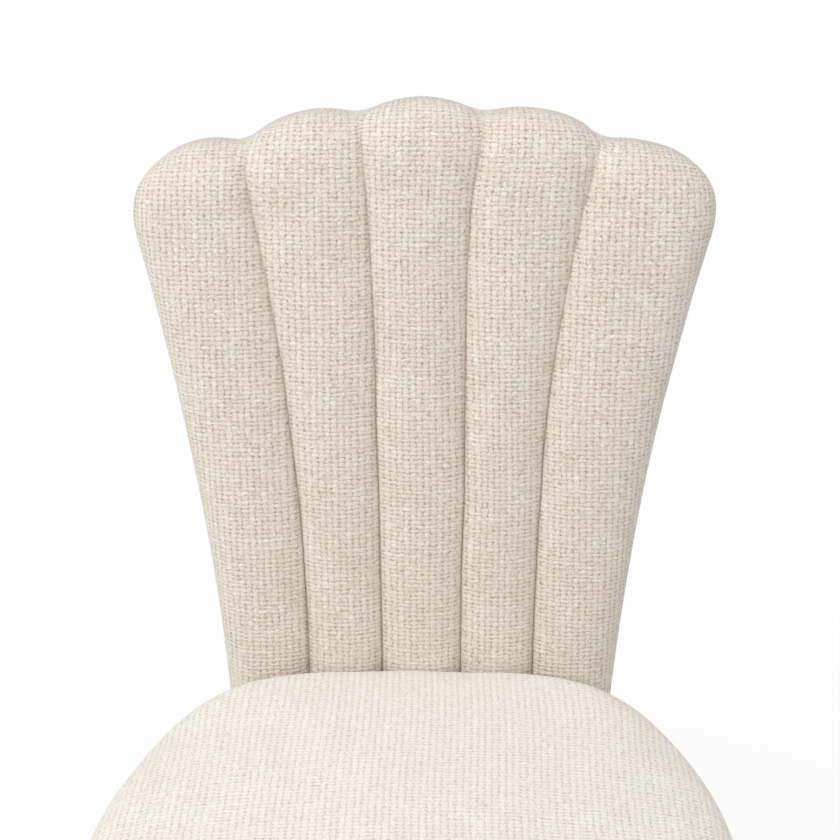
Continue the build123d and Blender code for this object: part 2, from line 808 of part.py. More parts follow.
with BuildPart() as base_board:
    with BuildSketch(level(base_board_bottom)):
        Circle(base_board_radius)
    extrude(amount=base_board_thickness)
    fillet(base_board.edges(), radius=base_board_round)
    with BuildSketch(level(swivel_bottom)):
        Circle(rivet_flange_radius + rivet_end_gap)
    extrude(amount=-rivet_flange_thickness - rivet_end_gap, mode=Mode.SUBTRACT)
    with BuildSketch(level(swivel_bottom)):
        with Locations(swivel_hole_places):
            Circle(screw_radius + screw_gap)
    extrude(amount=-screw_length, mode=Mode.SUBTRACT)
    add(stud_space, mode=Mode.SUBTRACT)
    add(leg_screw_space, mode=Mode.SUBTRACT)
save(base_board, "base_board")
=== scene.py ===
"""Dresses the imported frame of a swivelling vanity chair: channelled back, round seat, wood, steel and stage.

Everything is in metres in the frame's own directions: +Z is up, the chair faces -Y, and left and right are
as seen from the front. The shape functions of the padded back work in millimetres on the back's slope, as
across, up and out, and slope_points takes their results into the frame.
"""

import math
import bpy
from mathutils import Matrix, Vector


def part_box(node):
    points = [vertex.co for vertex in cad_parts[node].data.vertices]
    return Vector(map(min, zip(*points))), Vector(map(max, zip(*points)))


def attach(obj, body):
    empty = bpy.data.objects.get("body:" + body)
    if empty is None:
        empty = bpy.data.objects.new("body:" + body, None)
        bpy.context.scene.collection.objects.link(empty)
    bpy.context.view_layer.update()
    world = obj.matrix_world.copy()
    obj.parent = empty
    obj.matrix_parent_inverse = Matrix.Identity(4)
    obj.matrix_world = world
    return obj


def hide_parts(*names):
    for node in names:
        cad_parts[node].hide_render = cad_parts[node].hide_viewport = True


bl_info = {
    "name": "Scallop-Back Vanity Chair",
    "version": (1, 0, 0),
    "blender": (4, 5, 0),
    "location": "3D View > Sidebar > Vanity Chair",
    "description": "Builds the padding, cloth, wood, metal and stage round a packed vanity chair",
    "category": "Object",
}

import bmesh
import bpy
import numpy as np
from mathutils import Matrix, Vector, noise

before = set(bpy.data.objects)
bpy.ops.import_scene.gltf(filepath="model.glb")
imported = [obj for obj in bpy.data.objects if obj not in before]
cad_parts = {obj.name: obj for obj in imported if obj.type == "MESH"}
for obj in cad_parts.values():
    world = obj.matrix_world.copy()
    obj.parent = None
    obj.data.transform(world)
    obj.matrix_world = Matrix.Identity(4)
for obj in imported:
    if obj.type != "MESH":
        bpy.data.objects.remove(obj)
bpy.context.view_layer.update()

MM = 0.001

# The frame's own places
SEAT_LOW, SEAT_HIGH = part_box("seat_cover")
RAIL_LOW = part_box("frame_rail_rear")[0]
DECK_LOW, DECK_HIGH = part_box("deck")
SEAT_RADIUS = (SEAT_HIGH.x - SEAT_LOW.x) / 2
SEAT_CENTRE_Y = SEAT_LOW.y + SEAT_RADIUS
FRAME_RADIUS = (DECK_HIGH.x - DECK_LOW.x) / 2

# The seat's shape: its rim above the frame's rails, its flat rear behind its centre, its rolled edge, how far
# its side draws in at the foot and its hem under the frame
RIM_HEIGHT = RAIL_LOW.z + 72 * MM
SEAT_REAR = 201 * MM
EDGE_ROLL = 27 * MM
SIDE_DRAW = 6 * MM
COVER_TUCK = 14 * MM
SEAT_RISE = SEAT_HIGH.z - RIM_HEIGHT
ROLL_CENTRE = SEAT_RADIUS - EDGE_ROLL
CROWN_RADIUS = (ROLL_CENTRE**2 + SEAT_RISE**2 - EDGE_ROLL**2) / (2 * (SEAT_RISE - EDGE_ROLL))
HEM = ((0.6, 1.6), (2.4, 0.3), (5, 0), (10, 0))  # how far in and up its points lie from the side's foot
DISC_RADIUS = 70 * MM  # the grid in the crown's middle, inside the rings
FRAME_PLAY = 0.3 * MM  # between the pad's inside and the frame
SEAT_SHIFT = 4.6 * MM  # how far the seat's front stands to the left of even
DUST_EDGE = 14 * MM  # the longest edge in the dust cloth
DUST_SAG = 1.4 * MM
LEFT_FILL = 4.2 * MM  # how much further out the left rear corner stands than the right one
SIDE_RUN = 231  # of the seat's side, in millimetres for each radian
# The seat's copy of the cloth is painted as lit from above: flatter weave, less painted shade and tone
# contrast, and paler yarn
SEAT_CLOTH = {"name": "ivory_chenille_seat", "depth": 0.62, "lit_paleness": 0.55}

# How much the crown is lifted along the flat rear, by distance from the middle
REAR_PLACES = (0, 50, 75, 110, 140, 190)
REAR_LIFTS = (-2.6, -2.0, 0, 3.0, 4.0, 1.0)

# The back's slope: its directions, and its depths off the plywood panel
LEAN = math.radians(13)
SLOPE_UP = np.array((0, math.sin(LEAN), math.cos(LEAN)))
FACE_OUT = np.array((0, -math.cos(LEAN), math.sin(LEAN)))
CREST = 34
SEAT_GAP = 0.4
PANEL = 15
REAR_BUILD = 25
EDGE_DEPTH = 5
BAND_DEPTHS = (-2.5, -6, -10.5, -15.5, -19.7)  # off the front's edge, back round the panel
BAND_PINCH = 0.35
REAR_ROLL = 11
TURN_IN = 1.8
PANEL_GAP = 2.0
REAR_SHELL = 1.6
BACK_ORIGIN = np.array((0, SEAT_CENTRE_Y + SEAT_REAR + (CREST + SEAT_GAP) * MM / math.cos(LEAN), RIM_HEIGHT))

# The back's outline on the slope
BACK_HEIGHT = 472
FOOT = -65
FOOT_HALF_WIDTH = 156.5
FOOT_ROUND = 14
SHOULDER = (224, 388)
SHOULDER_SOFTNESS = 13
NOTCH_SOFTNESS = 6.5
SIDE_HOLLOW = 11.4
INNER_SEAM = (32.5, 48, 2.6)  # half distance at the foot and at the top, and the curve's power
OUTER_SEAM = (92, 143, 2.2)
INNER_NOTCH_HEIGHT = 460
OUTER_NOTCH_HEIGHT = 439
MIDDLE_LOBE = 12
INNER_LOBE = 13
OUTER_LOBE = 22.5

# The grid's rows and columns: rough widths of the channels and height of the back, and the distances from a
# seam at which the first columns lie
CHANNEL = 80
OUTER_CHANNEL = 78
GRID_HEIGHT = 510
FINE_STEPS = np.array((0, 0.9, 2.0, 3.6, 6, 9.5, 14))
COARSE_STEPS = np.array((0, 8))
PANEL_SHIFT = (0.0017, 0.0011)  # of the weave from one channel to the next, in metres

# How much higher or lower than even the lobes stand, from left to right
LOBE_PLACES = (-215, -192, -160, -143, -100, -45, 0, 40, 90, 127, 145, 172, 215)
LOBE_LIFTS = (-0.9, -1.2, -1.3, -1.3, -1.3, -0.4, 1.0, 0.2, 1.0, 5.0, 0.4, -1.2, 2.6)

# How much wider the right side is, by height, and how far the left foot is drawn to the right
FULLER_HEIGHTS = (FOOT, 150, 330, 400, BACK_HEIGHT)
FULLER = (0, 2.6, 3.2, 5.6, 2.4)
TIGHTER_HEIGHTS = (100, 300)
TIGHTER = (1.1, 0)

# How far each seam, from left to right, strays to the right at each height; the edges at the first and the
# last of the places don't stray
STRAY_PLACES = (-200, -120, -45, 45, 130, 205)
STRAY_HEIGHTS = (35, 100, 165, 228, 293, 355)
SEAM_STRAYS = (
    (1.2, 0.8, -0.4, -1.6, -2.0, -2.3),
    (2.4, 1.0, 0.4, 0.0, 1.8, 1.6),
    (1.2, 0.9, 2.3, 0.2, -2.3, -4.6),
    (0.6, -0.2, -2.7, -4.6, -3.5, -2.8),
)

# Where a change sets in, as the places on the slope at which it begins and is whole
LOBE_ZONE = (300, 430)
TOP_ZONE = (330, 430)
STRAY_END = (390, 450)
FOOT_ZONE = (-40, 30)
SIDE_ZONE = (0.55 * 165, 0.95 * 165)
RIGHT_SIDE = (110, 215)
LEFT_SIDE = (90, 160)
FRONT_ZONE = (8, 20)
PINNED_EDGE = 9
PINNED_SEAM = 1.2

# The same on the seat, in metres behind its centre
REAR_ZONE = (0.11, 0.19)
SHIFT_ZONE = (0.0, 0.16)

LEG_TURNS = {"front_left": -135, "front_right": -45, "rear_left": 135, "rear_right": 45}
LEG_SPLAY = 15

# Each lamp's place, the height at which it aims above the origin, and its size
LAMPS = {
    "key": ((-2.0, -1.5, 2.3), 0.55, 1.6),
    "fill": ((2.3, -1.0, 1.5), 0.6, 1.6),
    "side": ((-2.3, -0.5, 1.1), 0.6, 1.2),
    "top": ((0.3, -0.2, 3.0), 0.4, 2.2),
}

WHITE = (1.0, 1.0, 1.0, 1.0)
FLOOR = 12  # half its side, in metres

CLOTH_SETTINGS = {
    "quality": 6,
    "mass": 0.35,
    "tension_stiffness": 25,
    "compression_stiffness": 25,
    "shear_stiffness": 10,
    "bending_stiffness": 2,
    "air_damping": 4,
    "use_pressure": True,
}
CLOTH_FRAMES = 18
YARN_ARC = 2.95  # radians round a yarn, just short of half a turn


# Shapes on the slope


def smooth_step(low, high, value):
    """0 below low and 1 above high, easing between."""
    share = np.clip((value - low) / (high - low), 0, 1)
    return share * share * (3 - 2 * share)


def bell(value, width, middle=0):
    """1 at the middle, falling off evenly to both sides."""
    return np.exp(-(((value - middle) / width) ** 2))


def slope_points(across, up, out):
    """Points of the frame, in metres, from millimetres across, up and out of the back's panel."""
    across, up, out = np.broadcast_arrays(across, up, out)
    places = np.zeros(across.shape + (3,))
    places[..., 0] = across
    places += up[..., None] * SLOPE_UP + out[..., None] * FACE_OUT
    return BACK_ORIGIN + places * MM


def on_slope(places):
    """Across, up and out, in millimetres, of points of the frame."""
    away = (places - BACK_ORIGIN) / MM
    return away[..., 0], away @ SLOPE_UP, away @ FACE_OUT


def seam_distance(seam, up):
    """Half distance between a pair of seams at a height on the slope."""
    foot, top, power = seam
    return foot + (top - foot) * (np.clip(up, 0, None) / BACK_HEIGHT) ** power


def arc(start, end, bulge, count=80):
    """Points on the arc from start to end that stands off its chord, to the left, by bulge."""
    start, end = np.array(start, float), np.array(end, float)
    chord = end - start
    length = np.hypot(*chord)
    left = np.array((-chord[1], chord[0])) / length
    radius = length**2 / (8 * abs(bulge)) + abs(bulge) / 2
    centre = (start + end) / 2 + left * (bulge - math.copysign(radius, bulge))
    first = math.atan2(*(start - centre)[::-1])
    turn = math.atan2(*(end - centre)[::-1]) - first
    turn = (turn + math.pi) % math.tau - math.pi
    angles = first + turn * np.linspace(0, 1, count)
    return centre + radius * np.stack((np.cos(angles), np.sin(angles)), axis=1)


def along(curve, shares):
    """Points at shares of a curve's length."""
    steps = np.hypot(*np.diff(curve, axis=0).T)
    reached = np.concatenate(((0,), np.cumsum(steps)))
    wanted = np.asarray(shares) * reached[-1]
    return np.stack([np.interp(wanted, reached, curve[:, axis]) for axis in (0, 1)], axis=1)


def joined(*curves):
    """Curves that follow each other, as one."""
    return np.concatenate([curves[0]] + [curve[1:] for curve in curves[1:]])


def right_outline():
    """The back's outline on the right: foot, side, outer lobe and inner lobe, and the whole middle lobe."""
    outer_notch = (float(seam_distance(OUTER_SEAM, OUTER_NOTCH_HEIGHT)), OUTER_NOTCH_HEIGHT)
    inner_notch = (float(seam_distance(INNER_SEAM, INNER_NOTCH_HEIGHT)), INNER_NOTCH_HEIGHT)
    side = arc((FOOT_HALF_WIDTH, FOOT), SHOULDER, SIDE_HOLLOW, 400)
    side = side[side[:, 1] >= FOOT + FOOT_ROUND]
    sagitta = FOOT_ROUND * (1 - math.sqrt(0.5))
    corner = arc((FOOT_HALF_WIDTH - FOOT_ROUND, FOOT), side[0], -sagitta, 13)
    outer_lobe = arc(SHOULDER, outer_notch, -OUTER_LOBE, 120)
    inner_lobe = arc(outer_notch, inner_notch, -INNER_LOBE)
    middle = arc(inner_notch, (-inner_notch[0], inner_notch[1]), -MIDDLE_LOBE, 121)
    foot_end = len(corner) // 2
    foot = joined(np.array(((0, FOOT), (FOOT_HALF_WIDTH - FOOT_ROUND, FOOT)), float), corner[: foot_end + 1])
    flank = joined(corner[foot_end:], side)
    lobe_start = int(np.argmax(outer_lobe[:, 0] + 0.75 * outer_lobe[:, 1]))
    ends = np.cumsum([len(foot) - 1] + [len(curve) - 1 for curve in (flank, outer_lobe, inner_lobe)])
    whole = joined(foot, flank, outer_lobe, inner_lobe, middle)
    whole = softened(whole, zip(ends[1:], (SHOULDER_SOFTNESS, NOTCH_SOFTNESS, NOTCH_SOFTNESS)))
    turns = (0, ends[0], ends[1] + lobe_start, ends[2], ends[3])
    foot, flank, outer_lobe, inner_lobe = [whole[start : end + 1] for start, end in zip(turns, turns[1:])]
    middle = whole[ends[3] :]
    half = middle[: len(middle) // 2 + 1]
    return foot, flank, outer_lobe, inner_lobe, joined(half, mirrored(half)[::-1])


def softened(curve, corners):
    """The curve with its corners, given as number and softness, rounded as cloth rounds them."""
    steps = np.hypot(*np.diff(curve, axis=0).T)
    reached = np.concatenate(((0,), np.cumsum(steps)))
    share = np.gradient(reached)
    spread_here = np.zeros(len(curve))
    for number, softness in corners:
        near = softness * bell(reached, 2.2 * softness, reached[number])
        spread_here = np.maximum(spread_here, near)
    soft = curve.astype(float).copy()
    for number in np.flatnonzero(spread_here > 0.4):
        weight = share * np.exp(-(((reached - reached[number]) / spread_here[number]) ** 2) / 2)
        soft[number] = weight @ curve / weight.sum()
    return soft


def mirrored(curve):
    """A curve on the other side of the back, run the same way."""
    return curve * (-1, 1)


def seam_curve(seam, notch):
    """One right-hand seam from the foot to its notch."""
    up = np.linspace(FOOT, notch[1], 200)
    across = seam_distance(seam, up)
    across += (notch[0] - across[-1]) * np.linspace(0, 1, 200) ** 8
    return np.stack((across, up), axis=1)


def patch(foot, top, left, right, across_shares, up_shares):
    """A grid of points between four curves that meet at their ends, as rows from the foot to the top."""
    foot, top = along(foot, across_shares), along(top, across_shares)
    left, right = along(left, up_shares), along(right, up_shares)
    across = np.asarray(across_shares)[None, :, None]
    up = np.asarray(up_shares)[:, None, None]
    edges = (1 - up) * foot[None] + up * top[None] + (1 - across) * left[:, None] + across * right[:, None]
    low = (1 - across) * left[0] + across * right[0]
    high = (1 - across) * left[-1] + across * right[-1]
    return edges - (1 - up) * low - up * high


def roll_steps(roll, length, count):
    """Shares of a length that follow a rolled edge from its outside in, evenly round the roll."""
    angles = np.linspace(0, math.pi / 2, count + 1)
    return roll * (1 - np.cos(angles)) / length


def spread(first, last, between):
    """Two lists of end shares with even steps between them, from 0 to 1."""
    first, last = np.asarray(first), 1 - np.asarray(last)[::-1]
    middle = np.linspace(first[-1], last[0], between + 2)[1:-1]
    return np.concatenate((first, middle, last))


def back_grid(side_roll, top_roll, foot_roll, fine=True):
    """The back's outline as one grid of rows and columns, with the columns at which each seam lies."""
    foot, flank, outer_top, inner_top, middle_top = right_outline()
    steps = FINE_STEPS if fine else COARSE_STEPS
    crown_count, side_count, outer_count, row_count = (7, 8, 5, 74) if fine else (3, 6, 3, 36)
    channel = spread(steps / CHANNEL, steps / CHANNEL, crown_count)
    outer = spread(steps / OUTER_CHANNEL, roll_steps(side_roll, OUTER_CHANNEL, side_count), outer_count)
    up = spread(roll_steps(foot_roll, GRID_HEIGHT, 5), roll_steps(top_roll, GRID_HEIGHT, 9), row_count)
    inner_seam = seam_curve(INNER_SEAM, middle_top[0])
    outer_seam = seam_curve(OUTER_SEAM, inner_top[0])
    low_inner, low_outer = inner_seam[0, 0], outer_seam[0, 0]
    middle_foot = np.array(((-low_inner, FOOT), (low_inner, FOOT)))
    outer_foot = np.concatenate((((low_outer, FOOT),), foot[foot[:, 0] > low_outer]))
    inner_foot = np.array(((low_inner, FOOT), (low_outer, FOOT)))
    middle = patch(middle_foot, middle_top[::-1], mirrored(inner_seam), inner_seam, channel, up)
    inner = patch(inner_foot, inner_top[::-1], inner_seam, outer_seam, channel, up)
    rim = patch(outer_foot, outer_top[::-1], outer_seam, flank, outer, up)
    right = (inner, rim)
    left = [piece[:, ::-1] * (-1, 1) for piece in right[::-1]]
    grid = left[0]
    seams = []
    for piece in (left[1], middle, *right):
        seams.append(grid.shape[1] - 1)
        grid = np.concatenate((grid, piece[:, 1:]), axis=1)
    return grid, seams


def outline_loop():
    """The whole outline, anticlockwise from the left end of the foot, with its outward directions."""
    foot, flank, outer_top, inner_top, middle_top = right_outline()
    right = joined(foot, flank, outer_top, inner_top)
    left = mirrored(right)[-2 : len(foot) - 1 : -1]
    loop = np.concatenate((mirrored(foot)[:0:-1], right, middle_top[1:], left))
    steps = np.roll(loop, -1, axis=0) - np.roll(loop, 1, axis=0)
    outward = np.stack((steps[:, 1], -steps[:, 0]), axis=1)
    outward /= np.maximum(np.hypot(*outward.T), 1e-6)[:, None]
    return loop, outward


OUTLINE, OUTWARD = outline_loop()


def edge_distance(places):
    """Distance of points on the slope from the outline, and the outward direction nearest to each."""
    flat = places.reshape(-1, 2)
    away = np.zeros(len(flat))
    nearest = np.zeros(len(flat), int)
    starts, ends = OUTLINE, np.roll(OUTLINE, -1, axis=0)
    runs = ends - starts
    squares = np.maximum((runs**2).sum(axis=1), 1e-9)
    for begin in range(0, len(flat), 2000):
        some = flat[begin : begin + 2000]
        from_start = some[:, None] - starts[None]
        share = np.clip((from_start * runs).sum(axis=2) / squares, 0, 1)
        gaps = np.hypot(*np.moveaxis(from_start - share[..., None] * runs, 2, 0))
        nearest[begin : begin + 2000] = gaps.argmin(axis=1)
        away[begin : begin + 2000] = gaps.min(axis=1)
    shape = places.shape[:-1]
    return away.reshape(shape), OUTWARD[nearest].reshape(shape + (2,))


def lumps(across, up, size, seed):
    """Smooth unevenness between -1 and 1, for arrays of places in millimetres."""
    places = zip(np.ravel(across), np.ravel(up))
    values = [noise.noise(Vector((x / size, y / size, seed))) for x, y in places]
    return np.array(values).reshape(np.shape(across)) * 1.6


def seam_gap(across, up):
    """Distance to the nearest seam, across the slope."""
    half = abs(across)
    inner = abs(half - seam_distance(INNER_SEAM, up))
    outer = abs(half - seam_distance(OUTER_SEAM, up))
    return np.minimum(inner, outer)


def hand_sewn(across, up):
    """Places on the slope after sewing by hand: uneven lobes, a fuller right side and a tighter left foot."""
    lift = np.interp(across, LOBE_PLACES, LOBE_LIFTS) * smooth_step(*LOBE_ZONE, up)
    fuller = np.interp(up, FULLER_HEIGHTS, FULLER) * smooth_step(*RIGHT_SIDE, across)
    tighter = np.interp(up, TIGHTER_HEIGHTS, TIGHTER) * smooth_step(*LEFT_SIDE, -across)
    return across + fuller + tighter, up + lift


def seam_stray(across, up):
    """How far the sewn cover strays to the right, most of all along the seams."""
    stray = 0
    for number, strays in enumerate(SEAM_STRAYS, start=1):
        near = np.interp(across, STRAY_PLACES, np.eye(len(STRAY_PLACES))[number])
        stray = stray + near * np.interp(up, STRAY_HEIGHTS, strays)
    return stray * (1 - smooth_step(*STRAY_END, up))


def rolled(inward):
    """Share of the full height on a rolled edge, which is 0 where inward is 1 at the outside."""
    return np.sqrt(1 - inward**2)


def roll_width(across, up, shape):
    """Width of the rolled edge: the side's, the lobes' at the top and the foot's between the sides."""
    topness = smooth_step(*TOP_ZONE, up)
    footness = 1 - smooth_step(*FOOT_ZONE, up)
    sideness = smooth_step(*SIDE_ZONE, abs(across))
    roll = shape.side_roll + (shape.top_roll - shape.side_roll) * topness
    return roll + (shape.foot_roll - roll) * footness * (1 - sideness)


def roll_run(inward, width):
    """Length of cloth that a rolled edge takes up beyond its width on the slope."""
    reach = np.linspace(0, 1, 200)
    fall = (CREST - EDGE_DEPTH) * rolled(reach)
    taken = np.cumsum(np.hypot(np.diff(reach, prepend=0) * width, np.diff(fall, prepend=fall[0])))
    return np.interp(inward, reach, taken - reach * width)


def front_depth(across, up, gap, inward, shape):
    """How far the front stands off the panel, with its channels and the soft lumps of their filling."""
    edge = rolled(inward)
    pillow = 1 - (1 - np.clip(gap / (CHANNEL / 2), 0, 1)) ** shape.fullness
    crown = CREST - shape.relief * (1 - pillow)
    return EDGE_DEPTH + (crown - EDGE_DEPTH) * edge + 0.55 * lumps(across, up, 46, 3.1) * edge * pillow


# Meshes


def add_object(name, data):
    """A new object in the scene."""
    made = bpy.data.objects.new(name, data)
    bpy.context.scene.collection.objects.link(made)
    return made


def new_piece(name, vertices, faces, corner_map=None):
    """A mesh object of the chair, smooth all over, with its cloth map in metres if one is given."""
    mesh = bpy.data.meshes.new(name)
    mesh.from_pydata(np.asarray(vertices).tolist(), [], np.asarray(faces).tolist())
    mesh.update()
    if corner_map is not None:
        layer = mesh.uv_layers.new(name="cloth")
        layer.data.foreach_set("uv", np.asarray(corner_map, np.float32).ravel())
    mesh.shade_smooth()
    return add_object(name, mesh)


def grid_faces(rows, columns):
    """Four-sided faces of a grid, counted along its rows."""
    numbers = np.arange(rows * columns).reshape(rows, columns)
    corners = (numbers[:-1, :-1], numbers[:-1, 1:], numbers[1:, 1:], numbers[1:, :-1])
    return np.stack(corners, axis=-1).reshape(-1, 4)


def ring_faces(ring, first, count):
    """Faces from a ring of points out to count more rings, whose points are numbered on from first."""
    faces = []
    for number in range(count):
        after = first + number * len(ring) + np.arange(len(ring))
        faces.append(np.stack((ring, after, np.roll(after, -1), np.roll(ring, -1)), axis=1))
        ring = after
    return faces


def perimeter(rows, columns):
    """Numbers of a grid's edge points, anticlockwise from its first."""
    foot = np.arange(columns)
    right = np.arange(1, rows) * columns + columns - 1
    top = (rows - 1) * columns + np.arange(columns - 2, -1, -1)
    left = np.arange(rows - 2, 0, -1) * columns
    return np.concatenate((foot, right, top, left))


def vertex_places(piece):
    """A mesh's points as an array."""
    places = np.zeros(len(piece.data.vertices) * 3)
    piece.data.vertices.foreach_get("co", places)
    return places.reshape(-1, 3)


def set_places(piece, places):
    """Moves a mesh's points."""
    piece.data.vertices.foreach_set("co", np.asarray(places, np.float32).ravel())
    piece.data.update()


def apply_modifiers(piece):
    """Makes what the modifiers show the piece's own mesh."""
    graph = bpy.context.evaluated_depsgraph_get()
    final = piece.evaluated_get(graph)
    shown = bpy.data.meshes.new_from_object(final, preserve_all_data_layers=True, depsgraph=graph)
    old = piece.data
    piece.modifiers.clear()
    piece.data = shown
    bpy.data.meshes.remove(old)
    piece.data.name = piece.name


def subdivide(piece):
    """One rounder mesh with each face cut in four."""
    modifier = piece.modifiers.new("Subdivision", "SUBSURF")
    modifier.levels = modifier.render_levels = 1
    apply_modifiers(piece)


def swell(piece, pinned, pressure, limit):
    """Blows the cover up from inside as cloth, held at its pinned points, with each move under a limit."""
    rest = vertex_places(piece)
    held = piece.vertex_groups.new(name="held")
    held.add([int(i) for i in np.flatnonzero(pinned)], 1.0, "REPLACE")
    cloth = piece.modifiers.new("Cloth", "CLOTH")
    for name, value in CLOTH_SETTINGS.items():
        setattr(cloth.settings, name, value)
    cloth.settings.uniform_pressure_force = pressure
    cloth.settings.vertex_group_mass = held.name
    cloth.settings.effector_weights.gravity = 0
    cloth.collision_settings.use_collision = False
    cloth.point_cache.frame_start = 1
    cloth.point_cache.frame_end = CLOTH_FRAMES
    scene = bpy.context.scene
    for number in range(1, CLOTH_FRAMES + 1):
        scene.frame_set(number)
    moved = vertex_places(piece.evaluated_get(bpy.context.evaluated_depsgraph_get())) - rest
    piece.modifiers.remove(cloth)
    piece.vertex_groups.remove(held)
    scene.frame_set(1)
    length = np.maximum(np.linalg.norm(moved, axis=1), 1e-9)
    moved *= (limit * np.tanh(length / limit) / length)[:, None]
    set_places(piece, rest + moved)


def close_rear(piece, steps):
    """Closes an open cover: its edge is carried through each step, a function of places, and then filled."""
    build = bmesh.new()
    build.from_mesh(piece.data)
    edges = [edge for edge in build.edges if edge.is_boundary]
    for step in steps:
        made = bmesh.ops.extrude_edge_only(build, edges=edges)["geom"]
        corners = [part for part in made if isinstance(part, bmesh.types.BMVert)]
        edges = [part for part in made if isinstance(part, bmesh.types.BMEdge) and part.is_boundary]
        places = step(np.array([corner.co[:] for corner in corners]))
        for corner, place in zip(corners, places):
            corner.co = place
    bmesh.ops.edgeloop_fill(build, edges=edges)
    bmesh.ops.recalc_face_normals(build, faces=build.faces)
    build.to_mesh(piece.data)
    build.free()
    piece.data.shade_smooth()


def dress(piece, body, material):
    """Gives a piece its body and its finish."""
    piece.data.materials.clear()
    piece.data.materials.append(material)
    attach(piece, body)
    return piece


# Shader helpers


def put(tree, kind, inputs=None, **settings):
    """A node with its settings and its inputs, given by name or number as values or as other sockets."""
    node = tree.nodes.new(f"ShaderNode{kind}")
    for name, value in settings.items():
        setattr(node, name, value)
    set_inputs(tree, node, inputs or {})
    return node


def set_inputs(tree, node, inputs):
    """Gives a node's inputs their values, or links them to other sockets."""
    for name, value in inputs.items():
        if isinstance(value, bpy.types.NodeSocket):
            tree.links.new(value, node.inputs[name])
        else:
            node.inputs[name].default_value = value


def calc(tree, operation, *values):
    """The result of a sum on numbers or sockets."""
    return put(tree, "Math", dict(enumerate(values)), operation=operation).outputs[0]


def calc_vector(tree, operation, vector, *others, **inputs):
    """The outputs of a sum on vectors, given in order, and on a scale if there is one."""
    inputs.update(enumerate((vector, *others)))
    return put(tree, "VectorMath", inputs, operation=operation).outputs


def blend_colours(tree, share, first, second, way="MIX"):
    """Two colours mixed by a share."""
    node = put(tree, "Mix", data_type="RGBA", blend_type=way)
    set_inputs(tree, node, {0: share, 6: first, 7: second})
    return node.outputs[2]


def toned(tree, base, tone):
    """A colour made lighter or darker by a number."""
    grey = put(tree, "CombineColor", {0: tone, 1: tone, 2: tone}).outputs[0]
    return blend_colours(tree, 1.0, base, grey, "MULTIPLY")


def span(tree, value, low, high, to_low=0.0, to_high=1.0):
    """A value taken from one range to another."""
    inputs = {"Value": value, "From Min": low, "From Max": high, "To Min": to_low, "To Max": to_high}
    return put(tree, "MapRange", inputs).outputs["Result"]


def speckle(tree, vector, scale, detail=2.0, roughness=0.5, size=(1, 1, 1)):
    """Noise between 0 and 1 on a stretched vector."""
    stretched = calc_vector(tree, "MULTIPLY", vector, size)[0]
    inputs = {"Vector": stretched, "Scale": scale, "Detail": detail, "Roughness": roughness}
    return put(tree, "TexNoise", inputs).outputs["Fac"]


def new_group(name, inputs, outputs):
    """An empty shader group with a vector, numbers with their defaults as inputs, and numbers as outputs."""
    group = bpy.data.node_groups.new(name, "ShaderNodeTree")
    group.interface.new_socket("Vector", in_out="INPUT", socket_type="NodeSocketVector")
    for label, default in inputs.items():
        socket = group.interface.new_socket(label, in_out="INPUT", socket_type="NodeSocketFloat")
        socket.default_value = default
    for label in outputs:
        group.interface.new_socket(label, in_out="OUTPUT", socket_type="NodeSocketFloat")
    return group, group.nodes.new("NodeGroupInput").outputs, group.nodes.new("NodeGroupOutput").inputs


